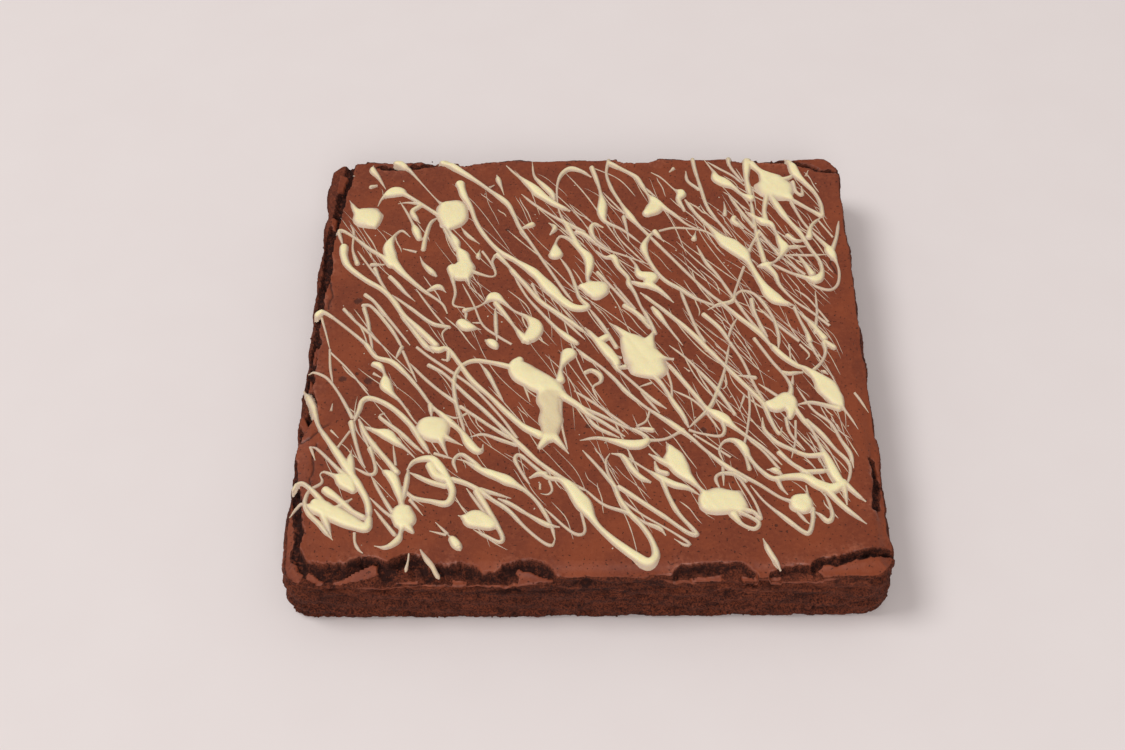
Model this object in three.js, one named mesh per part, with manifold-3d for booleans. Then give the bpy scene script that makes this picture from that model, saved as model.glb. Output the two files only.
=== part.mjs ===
// A whole chocolate brownie as it comes out of its tin, uncut: a low square slab with a thin crust that
// has cracked along the rim, and white chocolate poured over it in thick strokes and pools.
// Millimetres, +Z up, origin at the middle of the flat base. The front side faces -Y.
import * as THREE from "three";
import { mergeVertices } from "three/addons/utils/BufferGeometryUtils.js";
import Module from "manifold-3d";

// Driving dimensions
const HALF = 103; // half of the greatest width and depth, crumbs and flakes included
const CRUST = 25; // base to the flat of the crust
const CORNER = 9; // plan radius of the upright corners
const POUR = 1.9; // most that the poured chocolate stands over the crust

// Side wall from the base upwards: height, and how far it stands in from HALF
const WALL = [
  [0, 1.9],
  [1.6, 0.5],
  [7, 0.7],
  [14, 0.6],
  [19, 0.9],
  [23.3, 1],
];
const UPPER_WALL = 14; // above this height the wall follows the rise and fall of the rim
const UNDER_RIM = 0.7; // the wall's top loop lies this far under the rim's first
// How far in from HALF the loops of the rim run, from the rounded edge to the smooth crust
const RIM = [1.7, 3, 4.6, 6.5, 8.6, 11];
const FRONT_DROP = 2.3; // fall of the crust at its outermost loop, along the front
const BACK_RISE = 0.6; // and how far it stands up along the back
const STRAIGHT_STEPS = 34; // points along one straight side
const CORNER_STEPS = 6; // points round one corner
const INNER_CORNER = 0.7; // how fast the corner radius shrinks as the loops move in

// Cracks in the rim: width, depth, fall of the rim outside, and the points that each one runs through
const CRACKS = [
  [3.4, 4, 3.2, [[-99.5, -56], [-100.5, -64], [-98.6, -75], [-97.4, -84], [-97.6, -91], [-94, -97.4]]],
  [3.4, 4, 3.2, [[-94, -97.4], [-88.5, -99.4], [-80, -99], [-75.3, -96.4], [-70.7, -96.6], [-66, -99.2]]],
  [3.6, 4, 3.2, [[-66, -99.2], [-61.5, -95.2], [-55.8, -96], [-52.6, -100], [-46, -98.7], [-40, -98.7]]],
  [3.6, 4, 3, [[-40, -98.7], [-35, -101.8], [-29.8, -101.6], [-25.4, -98.6], [-19, -97.6], [-9, -102.6]]],
  [2.6, 2, 1.6, [[28, -101], [33, -99.6], [41, -98.4], [46, -98.9], [54, -101.4]]],
  [1.8, 1.6, 0.6, [[62, -101.4], [66, -100.4], [75, -99.8]]],
  [2.6, 2.6, 0.6, [[75.6, -98.8], [77.7, -96.8], [84.2, -96], [91.6, -94.4], [101.5, -92.4]]],
  [2.4, 2, 0.5, [[99, -54], [100.5, -64], [98.5, -75]]],
  [2.8, 2.6, 0.5, [[-94.5, 101], [-95.5, 91.5], [-97, 78], [-99.6, 55], [-98.9, 36], [-100.6, 10]]],
  [2.8, 2.6, 1.2, [[-100.6, 10], [-98.8, 2.4], [-100.8, -7], [-99.6, -20], [-97.2, -29], [-102, -43]]],
  [2.8, 2.2, 0.5, [[-82, 98.5], [-76, 98.4], [-60, 100.4], [-45, 101.2], [-31, 102.4]]],
  [2.2, 1.8, 0.4, [[14, 102], [20, 101], [27, 101.4], [31, 102.4]]],
  [2.8, 2.2, 0.5, [[60, 102], [68.5, 100.4], [77, 100.2], [86, 98.9], [95, 95], [102, 93.4]]],
];

// Raised flakes of broken crust at the rim: x, y, z, half length, half width, half thickness, turn
const FLAKES = [
  [-101.2, 66, 22.6, 6, 1.8, 1.6, 85],
  [-101.3, 54, 22.2, 7, 1.7, 1.6, 95],
  [-99, 90, 23, 5, 2.4, 2.1, 80],
  [-98.6, -2, 23, 5, 2.4, 2.2, 100],
  [-97.6, -41, 23, 5.5, 2.8, 2.6, 115],
  [100, -66, 23, 8, 2.4, 2.4, 92],
  [-76, -99.8, 21.6, 8, 1.8, 1.6, 14],
  [-16.5, -100.2, 21.6, 6, 2, 1.6, -8],
  [88, -99, 22.8, 10, 2.4, 1.7, 4],
  [20, 100.8, 23, 9, 2, 1.6, -2],
];

// Flows of poured chocolate: x, y and width at each station. A wide station makes a pool
const FLOWS = [
  [[-85.5, 100, 1.1], [-85.5, 97, 2.8], [-79.5, 86, 0.7]],
  [[-82, 76, 1.1], [-80.5, 80.5, 1.2], [-77, 83.5, 4.8], [-74, 84, 4.8], [-70, 81.5, 1.9],
    [-58, 71, 1.9]],
  [[-73.5, 79, 0.6], [-67.5, 66, 1.3], [-66, 62, 3.2], [-64.5, 57.5, 2.4]],
  [[-75.5, 101.5, 4.2], [-68.5, 94, 1.2], [-58, 78.6, 0.9], [-54, 75, 6.6], [-52, 71.5, 12],
    [-52, 67, 8], [-53.5, 62, 1.1]],
  [[-55, 66, 1.5], [-50, 55.5, 3.2], [-49, 51.5, 2.2], [-47, 47.5, 4.7], [-46, 43, 5.9], [-47, 39, 7.3],
    [-44.5, 34.5, 1.8], [-43.5, 30, 0.6]],
  [[-45, 18.5, 2.2], [-41, 20, 1], [-37.5, 22.5, 1.2], [-34.5, 25.5, 4.9], [-31, 23, 2.1],
    [-26.5, 18, 1.1], [-21.5, 14.5, 2.2], [-18.5, 10, 5.4], [-19.5, 5.5, 6], [-22.5, 2.5, 2.2]],
  [[-33.5, 22, 2.2], [-26, 9.5, 1.5], [-23, 4.5, 3.2], [-21, 2, 2.2]],
  [[-63.5, 47.5, 1], [-62, 43.5, 1.5], [-59, 39.5, 2.6], [-56.5, 36.5, 1.9]],
  [[-93.5, 79.5, 0.6], [-90, 73, 3.2], [-86, 70, 9], [-84, 69, 9], [-82, 63, 0.7]],
  [[-93.5, 53, 3.6], [-93, 48, 2.8], [-90.5, 42, 2.6], [-76.5, 29.5, 2.2], [-68, 16.5, 2.1],
    [-55, 1, 2.8]],
  [[-68, 58.5, 0.9], [-71.5, 62, 1.2], [-74.5, 58.5, 1.6], [-76, 53, 4.2], [-74.5, 46.5, 4.2],
    [-67, 35.5, 2.4], [-54, 22.5, 1.1], [-51.5, 17, 1.3]],
  [[-100.2, 18, 3.6], [-96.5, 17, 1.6], [-80.5, 1, 1.5], [-75, -6.5, 0.9]],
  [[-57, 101.5, 3.8], [-44, 91, 2.1], [-31, 77.5, 2.6], [-25, 62.5, 1.8], [-4.5, 22.5, 1.2]],
  [[-49.8, 88.5, 3.8], [-42.5, 66.5, 1.9], [-38.5, 58, 1.9], [-33, 50, 2.2], [-19, 37.5, 3.8],
    [-9, 23.5, 3.8], [-4, 19, 3.6], [1, 19.5, 2.8], [-2, 24.5, 1.8], [-6, 39, 1.3], [-9.5, 46, 1]],
  [[-11, 48, 5.4], [-11.2, 53.5, 1.3], [-9.5, 57.5, 1.3], [-6, 56, 1.5], [-2.5, 51.5, 2.2]],
  [[-31.5, 99, 1], [-17.5, 82, 4.2], [-12, 76.5, 2.6], [-5.5, 72, 1.9]],
  [[-21, 101, 0.7], [-20, 93, 1.2], [-13, 82.5, 2.6], [-11.5, 77, 1.5]],
  [[3, 92, 1.5], [-1, 95.5, 1.9], [-5.5, 97, 2.2], [-9, 94, 1.9], [-10.8, 87, 1], [-10.5, 76, 0.7],
    [-9, 69, 1], [-2, 51, 2.8], [1.5, 45.5, 3.8], [1.8, 40, 3.4], [1.2, 34, 1.5], [3, 30, 2.2]],
  [[-1, 30, 3.2], [4, 28.5, 8.6]],
  [[-46, 12, 4.2], [-44, 10.3, 4.7], [-38.5, 8.7, 0.7]],
  [[3.2, 97.5, 2.1], [6.5, 83, 1.5], [7.2, 76, 3.4], [7, 70.5, 3.8], [8.5, 65.5, 1.9], [15, 61, 1.3],
    [22, 53.5, 0.9]],
  [[10, 101.5, 1.6], [9, 94, 1.3], [11, 85, 1.5], [18, 69, 2.6], [22, 62.5, 1.5], [45.5, 28.5, 1.3],
    [64.5, 6, 2.1], [68, 0, 1.5]],
  [[10.5, 99.5, 2.2], [16.5, 95.5, 1.8], [21, 91.5, 2.2], [25.5, 81, 1.3], [28, 76.5, 4.8],
    [27.5, 73, 6], [25, 70.5, 4.2]],
  [[29, 76, 4.2], [40.5, 64, 0.9], [46.5, 60.5, 0.7]],
  [[27, 94.5, 0.9], [31, 91, 0.7], [36, 84, 0.9], [38.7, 81.5, 4.2], [37.5, 78, 2.4], [39.5, 72, 1.3]],
  [[40, 78, 1.8], [44, 70, 1.6], [50, 61, 2.1], [53, 56, 4.2], [57, 52, 6.6], [60.5, 48, 5.4],
    [63, 43, 2.6], [67.5, 30.5, 3.6], [70.5, 25, 5.4], [74, 21.5, 3.6], [79, 19.5, 1]],
  [[48.5, 101.5, 0.7], [52, 95, 1.2], [53, 90.5, 4.2], [55.5, 88, 4.9], [59.5, 85, 2.2],
    [62.5, 81, 1.9], [66, 78.5, 3.8]],
  [[66, 101.5, 3.6], [65.2, 89, 2.2], [66, 80, 2.6]],
  [[67.5, 98.5, 3.2], [71.5, 93.5, 3.6], [76.5, 85, 12], [79, 81.5, 6.6], [82.5, 77.5, 2.2]],
  [[81, 101.5, 0.9], [83.5, 98.5, 3.2], [85, 93, 4], [91.5, 82, 1.9], [93.5, 75, 1.6],
    [93.5, 68.5, 2.2]],
  [[78, 89, 3.2], [82, 90.5, 2.2], [85, 93, 2.2]],
  [[74, 80, 2.2], [77, 72, 3], [90, 43, 1.8], [90.5, 37, 1.9], [88, 33, 3.8], [84, 34, 2.1],
    [78, 37, 1.3], [72, 41.5, 1.8]],
  [[82, 76, 1.5], [85.5, 65, 1.2], [93.5, 51, 2.2], [94.6, 48, 3.8], [96.5, 42, 1.2], [97, 36.5, 1.2],
    [95.8, 30.5, 1.2], [92.8, 27.5, 1.3], [88.5, 28.6, 1.3], [85, 31.5, 1]],
  [[67.5, 67.5, 1.5], [70, 65, 3.8], [73, 63.5, 2.8], [74.5, 59, 1.5], [77, 50.5, 3.8], [75.5, 46, 1.9],
    [72.5, 42.5, 1.2], [69.5, 41, 3.2], [66, 40.5, 1.5]],
  [[69.5, 41, 3], [72.5, 36, 2.2], [74, 30, 1.5], [79, 22, 1], [90.8, 9.2, 1.2]],
  [[27.5, 60.5, 1.6], [23, 52, 3], [24, 46.5, 2.2], [27, 39, 1.8], [31, 33, 1.8], [41, 24.5, 1.5],
    [51, 19.5, 0.9]],
  [[4.5, 49.5, 1.5], [8, 45.7, 1.5], [11.2, 45.7, 2.8], [13, 40.5, 2.2], [16.5, 35, 1.9],
    [16.8, 31.5, 2.2], [19, 26.5, 1.5], [26, 6, 1.9]],
  [[16, 47.5, 0.7], [19.5, 42, 1.2], [21, 36.5, 3.6], [25.5, 35, 5.4], [24.5, 31.5, 4.2],
    [28.5, 28, 2.2], [33.5, 21.8, 1.2]],
  [[17, 33, 1.9], [21.5, 31, 2.6], [25, 31, 3.2]],
  [[25.5, 19, 1.8], [36, 0, 0.9]],
  [[78.5, 18.5, 1.6], [82.7, 2, 2.6]],
  [[10.5, 10.5, 1.5], [19, 1, 11], [21, -5, 14], [23, -10, 11], [25, -15, 3.2], [28, -20, 1.9],
    [34.5, -34, 2.1], [36.5, -40, 1.6]],
  [[25, 8, 1.5], [22, -1, 8]],
  [[24, -5, 8], [29, -6.5, 2.2], [32.5, -7, 2.2]],
  [[0, 9, 1.5], [8, -3, 4.2], [11, -8, 3.6], [11.5, -12, 1.8]],
  [[-102, -19.5, 1.5], [-98, -27.5, 2.2], [-94.3, -38.5, 1.5], [-77.5, -66, 2.8], [-74.5, -72.5, 2.4],
    [-73.5, -79, 2.2]],
  [[-92, -60, 1.3], [-91, -58.7, 1.3], [-87, -60.5, 1.9], [-83, -63, 5.4], [-80, -67, 2.8]],
  [[-92, -60, 1.2], [-91, -63.5, 1.2], [-95, -67, 1.3], [-96, -72.5, 1.6], [-94, -77, 1.9],
    [-90, -81.5, 2.2], [-85, -88, 0.7]],
  [[-89, -67, 2.2], [-80, -75.5, 1.8], [-75.5, -78.5, 2.2]],
  [[-96, -73, 1.5], [-90, -75.5, 4.9], [-85, -77.5, 5.4], [-74.5, -83, 3.8], [-73.5, -79, 2.6]],
  [[-82.5, -37, 1.5], [-80, -26.5, 2.1], [-77.3, -25, 2.2], [-72.5, -27, 2.2], [-62, -37.5, 2.2],
    [-54.5, -50.5, 1.9]],
  [[-77, -8.5, 2.6], [-75, -9.5, 3.2], [-73, -13, 1.3], [-71.8, -19.5, 4.7], [-66, -27, 1.2],
    [-60, -37, 0.7]],
  [[-54, -29.5, 1.5], [-44, -40.5, 2.2], [-41, -46, 3.4], [-38, -49.5, 2.8], [-36.2, -49, 1.5],
    [-36, -46.5, 1]],
  [[-56, -37, 5.4], [-54, -39, 9.5], [-51.5, -43, 4.2], [-48, -52, 1.2]],
  [[-52, -41, 4.2], [-43, -47, 0.7]],
  [[-79, -38, 1.2], [-70, -42, 4.2], [-63, -48.5, 1.3], [-59.5, -52.5, 1.2]],
  [[-62, -58, 1.8], [-59.5, -54, 2.1], [-54, -53, 3], [-50.5, -57, 3.8], [-45.8, -68, 2.6],
    [-47.5, -72.5, 2.8], [-59, -70, 1.9], [-62, -66.5, 1.6]],
  [[-54, -56, 3.2], [-52, -60, 3.8], [-49, -62, 3.2]],
  [[-70, -58.5, 2.2], [-67, -61, 3.8], [-62.8, -73, 2.4], [-62.5, -77, 7.2], [-61.8, -79, 7.2],
    [-62.3, -84, 1.9], [-63.3, -88, 3], [-67, -91, 1.9], [-71, -90.3, 0.7]],
  [[-43.5, -77.5, 0.6], [-37, -79.5, 7.3], [-33, -81.5, 4.9], [-30.8, -82.5, 1.9]],
  [[-24, -7, 3.2], [-25, -10, 6], [-21.5, -14.5, 8.5], [-16.5, -18, 8.5], [-7.5, -25, 3.4],
    [1, -33, 1.9], [14, -43.5, 1.2]],
  [[-13, -22, 8], [-12.5, -43, 5.4]],
  [[-12, -42, 4.2], [-5.8, -51, 1.2]],
  [[-6, -4.3, 5.4], [-8.7, -11, 1.8], [-9, -17, 3.2]],
  [[-57, 0, 2.2], [-54, -1.5, 3], [-50.5, -1, 2.2], [-41, -16.5, 2.2], [-34.5, -24, 1.9],
    [-22, -38.5, 2.6], [-16, -42.5, 3.6]],
  [[-45, -53, 1], [-42, -54, 1], [-33.5, -59.5, 3.8], [-27.5, -62.5, 4.2], [-19.5, -68.5, 1.6],
    [-15.5, -74, 1.5], [-11.8, -82, 1.3], [-10.4, -88, 1.3]],
  [[-46, -62, 2.2], [-36.5, -67, 2.2], [-32, -71, 1.5], [-26.5, -75.5, 1.8], [-15, -88.7, 1.3],
    [-11.5, -90.7, 1.5], [-10.4, -88, 1.3]],
  [[-19.3, -64.5, 1.5], [-24.6, -53, 1.5], [-22.8, -51.5, 1.5], [-13, -61.5, 1.8], [-9, -62.5, 2.2],
    [-6, -65, 3.8], [-0.5, -74, 4.9], [4, -82.5, 2.4], [16, -95, 3.8], [20.5, -97.8, 3.6],
    [23.2, -95, 2.6], [22, -89, 2.2], [11.5, -71, 1.9], [7.8, -60, 1], [7, -54.5, 1], [8.5, -51, 1]],
  [[-2, -45, 1], [4, -44, 1.5], [15.5, -47.3, 4.2], [20, -47, 3.8], [21.8, -44.5, 1.8], [18, -41, 1.6],
    [-2, -29.5, 1.6]],
  [[-3, -2, 1.5], [5.5, -10.5, 1.2], [15, -23, 1.9], [21.5, -30, 1.2], [32, -39.5, 2.2],
    [48.5, -57.5, 2.1], [66, -71, 1.2], [70, -73, 1.8]],
  [[29.5, -8, 1.8], [43.5, -31.5, 1.9], [48.5, -35.5, 4.2], [57, -44.5, 1.5], [68, -57, 1]],
  [[43, 1, 1.8], [63.5, -29, 1.9], [68.3, -43, 1.5], [69.3, -40, 0.9]],
  [[62.5, 3, 1.5], [72, -15, 1.3], [74, -20.5, 1.6], [73.5, -24.5, 2.2]],
  [[64.5, -29, 2.2], [68, -29.5, 5.9], [72, -27.5, 6.6], [73, -31.5, 4.2], [72.5, -35.5, 2.6]],
  [[74.5, -31, 2.2], [80, -42, 1.3], [86, -62, 4.2], [88, -66, 2.8]],
  [[68, 0.5, 1.9], [72, -5.5, 2.8], [77, -10.5, 2.2], [80, -12, 2.2], [87.3, -22, 7.4],
    [89.5, -27.5, 5.1], [91.8, -31.5, 1.5], [96, -41, 0.6]],
  [[91.3, -1.7, 2.2], [88, 1, 2.2], [88, -4, 1.5], [86, -9, 1.3], [83, -12.5, 1.6]],
  [[48, -56, 0.9], [46.6, -50.5, 1], [48.5, -46.5, 1.2], [52, -46, 2.1], [55, -49, 3.6], [57, -54, 1.9],
    [60.5, -59.5, 1.8], [64.5, -63, 2.2], [75, -62.5, 3.2], [84, -67.5, 4.2], [88, -65.5, 3.2]],
  [[82, -67, 3.2], [85.5, -72.5, 2.2], [94.5, -82.5, 1]],
  [[75.5, -66, 1.3], [75.5, -70, 1.5], [73, -74, 7.4], [74.5, -75, 4.2]],
  [[67.5, -51.7, 2.2], [79, -64, 1.9]],
  [[28.2, -46.2, 0.9], [31.5, -55, 6.6], [33.5, -60, 5.4], [37, -64.5, 2.6], [40, -68.5, 2.2],
    [42.5, -72.5, 8], [46, -72.5, 9.5], [50.5, -73, 8], [52, -76, 3.7]],
  [[22, -51.5, 1.5], [30, -57, 3.2]],
  [[14, -52.5, 1], [21, -58.5, 1], [30.5, -65.5, 3.2], [35, -67, 1.9], [39.5, -70.5, 0.9]],
];

// Section of a flow, seen along it: across in half widths, up in heights over the crust
const SECTION = [
  [1, -0.15],
  [0.68, 0.95],
  [-0.68, 0.95],
  [-1, -0.15],
  [0, -1.1],
];
const FLOW_STEP = 10; // longest straight piece of a flow
const LEAST_WIDTH = 1.4; // thinner tails than this are made this wide
const BLUNT_END = 0.45; // width of a flow's first and last section against the full width
const LEAST_EDGE = 0.02; // slivers finer than this, left where surfaces meet, are taken out

const wasm = await Module();
wasm.setup();

// A closed geometry as a solid that can be joined to others
function solid(geometry) {
  const bare = geometry.clone();
  bare.deleteAttribute("normal");
  bare.deleteAttribute("uv");
  const merged = mergeVertices(bare, 1e-4);
  return new wasm.Manifold(
    new wasm.Mesh({
      numProp: 3,
      vertProperties: new Float32Array(merged.attributes.position.array),
      triVerts: new Uint32Array(merged.index.array),
    }),
  );
}

// A geometry from a list of points and a list of corner numbers
function fromPoints(points, corners) {
  const geometry = new THREE.BufferGeometry();
  geometry.setAttribute("position", new THREE.Float32BufferAttribute(points.flat(), 3));
  geometry.setIndex(corners);
  return geometry;
}

const smooth = (low, high, value) => THREE.MathUtils.smoothstep(value, low, high);

const insetOf = (x, y) => HALF - Math.max(Math.abs(x), Math.abs(y));

// How far the cracks lower a place: most in their middle, a little on the rim outside them
function crackDepth(x, y) {
  let deepest = 0;
  for (const [width, depth, outerFall, path] of CRACKS) {
    for (let i = 1; i < path.length; i++) {
      const [ax, ay] = path[i - 1];
      const [dx, dy] = [path[i][0] - ax, path[i][1] - ay];
      const along = THREE.MathUtils.clamp(((x - ax) * dx + (y - ay) * dy) / (dx * dx + dy * dy), 0, 1);
      const [nearX, nearY] = [ax + along * dx, ay + along * dy];
      const away = Math.hypot(x - nearX, y - nearY);
      const outside = insetOf(x, y) < insetOf(nearX, nearY) ? 1 - smooth(1.5 * width, 3 * width, away) : 0;
      const groove = 1 - smooth(0.3 * width, 0.75 * width, away);
      deepest = Math.max(deepest, depth * groove, outerFall * outside);
    }
  }
  return deepest;
}

// How far the crust has fallen at its edge: it falls along the front and stands up along the back
function edgeDrop(x, y) {
  const drop = (FRONT_DROP - BACK_RISE) / 2 - ((FRONT_DROP + BACK_RISE) / 2) * (y / HALF);
  return drop * (1 - smooth(RIM[0], RIM[3], insetOf(x, y)));
}

const rimHeight = (x, y) => CRUST - edgeDrop(x, y) - crackDepth(x, y);

// A point of the loop that runs a given distance in from HALF, counted anticlockwise from the front left
function planPoint(step, inset) {
  const perSide = STRAIGHT_STEPS + CORNER_STEPS;
  const side = Math.floor(step / perSide);
  const rest = step % perSide;
  const radius = CORNER - INNER_CORNER * inset;
  const straight = HALF - inset - radius;
  let x = straight;
  let y = -HALF + inset;
  if (rest < STRAIGHT_STEPS) {
    x = -straight + (2 * straight * rest) / STRAIGHT_STEPS;
  } else {
    const angle = ((rest - STRAIGHT_STEPS) / CORNER_STEPS) * (Math.PI / 2);
    x = straight + radius * Math.sin(angle);
    y = -straight - radius * Math.cos(angle);
  }
  const turn = (side * Math.PI) / 2;
  return [x * Math.cos(turn) - y * Math.sin(turn), x * Math.sin(turn) + y * Math.cos(turn)];
}

// The baked cake: the wall's loops, the rim's loops with their cracks, a flat base and a flat crust
function cake() {
  const count = 4 * (STRAIGHT_STEPS + CORNER_STEPS);
  const points = [];
  const uneven = (step, height) => {
    const angle = (2 * Math.PI * step) / count;
    return 0.35 * Math.sin(17 * angle + height) + 0.3 * Math.sin(41 * angle - 0.7 * height);
  };
  const wallTop = WALL.at(-1)[0];
  for (const [height, inset] of WALL) {
    const raised = Math.max(0, height - UPPER_WALL) / (wallTop - UPPER_WALL);
    for (let step = 0; step < count; step++) {
      const wave = height > 0 ? uneven(step, height) : 0;
      const [x, y] = planPoint(step, Math.max(0, inset + wave));
      const highest = rimHeight(...planPoint(step, RIM[0])) - UNDER_RIM;
      points.push([x, y, height + raised * (highest - wallTop)]);
    }
  }
  for (const [row, inset] of RIM.entries()) {
    const onCrust = row === RIM.length - 1;
    for (let step = 0; step < count; step++) {
      const [x, y] = planPoint(step, inset + (onCrust ? 0 : 0.5 * uneven(step, row)));
      points.push([x, y, onCrust ? CRUST : rimHeight(x, y)]);
    }
  }
  const rows = WALL.length + RIM.length;
  const corners = [];
  for (let row = 0; row + 1 < rows; row++) {
    for (let step = 0; step < count; step++) {
      const next = (step + 1) % count;
      const [a, b] = [row * count + step, row * count + next];
      corners.push(a, b, b + count, a, b + count, a + count);
    }
  }
  const [middleBelow, middleAbove] = [points.length, points.length + 1];
  points.push([0, 0, 0], [0, 0, CRUST]);
  for (let step = 0; step < count; step++) {
    const next = (step + 1) % count;
    const top = (rows - 1) * count;
    corners.push(middleBelow, next, step, middleAbove, top + step, top + next);
  }
  return fromPoints(points, corners);
}

// A flake: a lens with round ends
function lens(x, y, z, halfLength, halfWidth, halfHeight, turn, sides, rings) {
  return new THREE.SphereGeometry(1, sides, rings)
    .rotateX(Math.PI / 2)
    .scale(halfLength, halfWidth, halfHeight)
    .rotateZ(THREE.MathUtils.degToRad(turn))
    .translate(x, y, z);
}

// Height of a flow over the crust, which grows with its width
const pourHeight = (halfWidth) => Math.min(POUR, 0.45 + 0.5 * halfWidth);

// A flow: a low rounded bar along a smooth curve through its stations, partly sunk in the crust
function flow(stations) {
  const curve = new THREE.CatmullRomCurve3(stations.map(([x, y, width]) => new THREE.Vector3(x, y, width)));
  const spans = stations.length - 1;
  const places = [];
  for (let i = 0; i < spans; i++) {
    const [[ax, ay], [bx, by]] = [stations[i], stations[i + 1]];
    const parts = Math.ceil(Math.hypot(bx - ax, by - ay) / FLOW_STEP);
    for (let part = 0; part < parts; part++) places.push((i + part / parts) / spans);
  }
  places.push(1);
  const points = [];
  const corners = [];
  for (const [i, along] of places.entries()) {
    const middle = curve.getPoint(along);
    const ahead = curve.getTangent(along).setZ(0).normalize();
    const blunt = i === 0 || i === places.length - 1 ? BLUNT_END : 1;
    const half = (blunt * Math.max(middle.z, LEAST_WIDTH)) / 2;
    const crust = CRUST - edgeDrop(middle.x, middle.y);
    for (const [across, up] of SECTION) {
      const out = half * across;
      points.push([middle.x + out * ahead.y, middle.y - out * ahead.x, crust + pourHeight(half) * up]);
    }
  }
  const sides = SECTION.length;
  const ring = (i, side) => i * sides + (side % sides);
  const last = places.length - 1;
  for (let i = 0; i < last; i++) {
    for (let side = 0; side < sides; side++) {
      const [a, b] = [ring(i, side), ring(i, side + 1)];
      const [c, d] = [ring(i + 1, side), ring(i + 1, side + 1)];
      corners.push(a, d, b, a, c, d);
    }
  }
  for (let side = 1; side + 1 < sides; side++) {
    corners.push(ring(0, 0), ring(0, side), ring(0, side + 1));
    corners.push(ring(last, 0), ring(last, side + 1), ring(last, side));
  }
  return fromPoints(points, corners);
}

const pieces = [solid(cake())];
for (const [x, y, z, length, width, thickness, turn] of FLAKES) {
  pieces.push(solid(lens(x, y, z, length, width, thickness, turn, 8, 4)));
}
for (const stations of FLOWS) {
  pieces.push(solid(flow(stations)));
}
const joined = pieces.reduce((whole, piece) => whole.add(piece));
// Where two flows close over a small hollow, only the outer skin is kept, so the hollow is filled
const bodies = joined.decompose().sort((one, other) => other.volume() - one.volume());
const skin = bodies[0].simplify(LEAST_EDGE).getMesh();

const geometry = new THREE.BufferGeometry();
geometry.setAttribute("position", new THREE.Float32BufferAttribute(skin.vertProperties, 3));
geometry.setIndex(new THREE.Uint32BufferAttribute(skin.triVerts, 1));

const brownie = new THREE.Mesh(
  geometry,
  new THREE.MeshStandardMaterial({ color: 0x7a3e2a, roughness: 0.55, metalness: 0 }),
);
brownie.name = "brownie";

const group = new THREE.Group();
group.add(brownie);

export default group;
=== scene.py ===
# %% [markdown]
# A whole chocolate brownie, straight from its square tin. On the real thing four finishes meet: a satin
# crust as thin as paper, the dark moist crumb that shows where this crust has cracked, the matt porous
# sides that touched the tin, and white chocolate poured over the top, thick where the spoon stopped and
# as thin as hair where it flicked. The packed solid already has the slab and the thick strokes at their
# real size. This script keeps that layout and models each finish finely enough to be looked at closely.

# %% Load the solid that everything is fitted to
import math

import bpy
import numpy as np
from mathutils import Matrix, Vector


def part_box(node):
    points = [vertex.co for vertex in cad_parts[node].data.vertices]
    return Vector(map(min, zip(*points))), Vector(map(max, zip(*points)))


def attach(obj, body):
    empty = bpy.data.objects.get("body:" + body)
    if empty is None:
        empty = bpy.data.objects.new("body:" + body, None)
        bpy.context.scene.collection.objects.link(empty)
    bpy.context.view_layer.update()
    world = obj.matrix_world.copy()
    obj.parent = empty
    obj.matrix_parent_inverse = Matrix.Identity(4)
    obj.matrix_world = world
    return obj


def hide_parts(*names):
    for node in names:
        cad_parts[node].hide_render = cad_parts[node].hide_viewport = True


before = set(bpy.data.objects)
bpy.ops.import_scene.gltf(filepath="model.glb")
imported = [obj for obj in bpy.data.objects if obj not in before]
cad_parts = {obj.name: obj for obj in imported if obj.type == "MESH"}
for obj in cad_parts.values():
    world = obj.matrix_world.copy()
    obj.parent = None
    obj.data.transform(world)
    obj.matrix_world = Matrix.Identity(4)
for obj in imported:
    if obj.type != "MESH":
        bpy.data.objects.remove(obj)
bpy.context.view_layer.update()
low_corner, high_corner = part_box("brownie")
MM = 0.001
HALF = (high_corner.x - low_corner.x) / 2 / MM
print("half width of the slab in mm:", round(HALF, 2))

# %% [markdown]
# The camera looks down on the slab from the front. A real lens and sensor size give the same
# perspective as the photograph: edges that run away from the viewer close in by the same amount. The
# three directions of the camera are worked out from how far it is tilted down, turned and rolled.

# %% Camera
LENS = 56.71
SENSOR = 36.0
CAMERA_PLACE = (1.76, -441.8, 505.2)
TILT_DOWN = math.radians(48.316)
TURN = math.radians(-1.337)
ROLL = math.radians(-1.439)


def look_directions(tilt, turn, roll):
    """Right, up and backward directions of a camera, as unit vectors."""
    ahead = Vector(
        (math.sin(turn) * math.cos(tilt), math.cos(turn) * math.cos(tilt), -math.sin(tilt))
    )
    level = Vector((math.cos(turn), -math.sin(turn), 0))
    upright = level.cross(ahead)
    right = math.cos(roll) * level + math.sin(roll) * upright
    up = math.cos(roll) * upright - math.sin(roll) * level
    return right, up, -ahead


def add_camera():
    data = bpy.data.cameras.new("camera")
    data.sensor_width = SENSOR
    data.lens = LENS
    camera = bpy.data.objects.new("camera", data)
    axes = Matrix(look_directions(TILT_DOWN, TURN, ROLL)).transposed().to_4x4()
    camera.matrix_world = Matrix.Translation(Vector(CAMERA_PLACE) * MM) @ axes
    bpy.context.scene.collection.objects.link(camera)
    bpy.context.scene.camera = camera
    return camera


camera = add_camera()
print("camera distance in mm:", round(camera.location.length / MM))

# %% [markdown]
# Nothing baked is truly smooth, so most surfaces here are shaped by noise. Blender's own noise works on
# one point at a time. Hashing the corners of a grid and easing between them does the same for hundreds
# of thousands of points at once, and gives the same answer on every run.

# %% Noise for many points at once
PRIMES = (374761393, 668265263, 1274126177, 974711)
LOWEST_BITS = 0xFFFFFFFF


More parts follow.
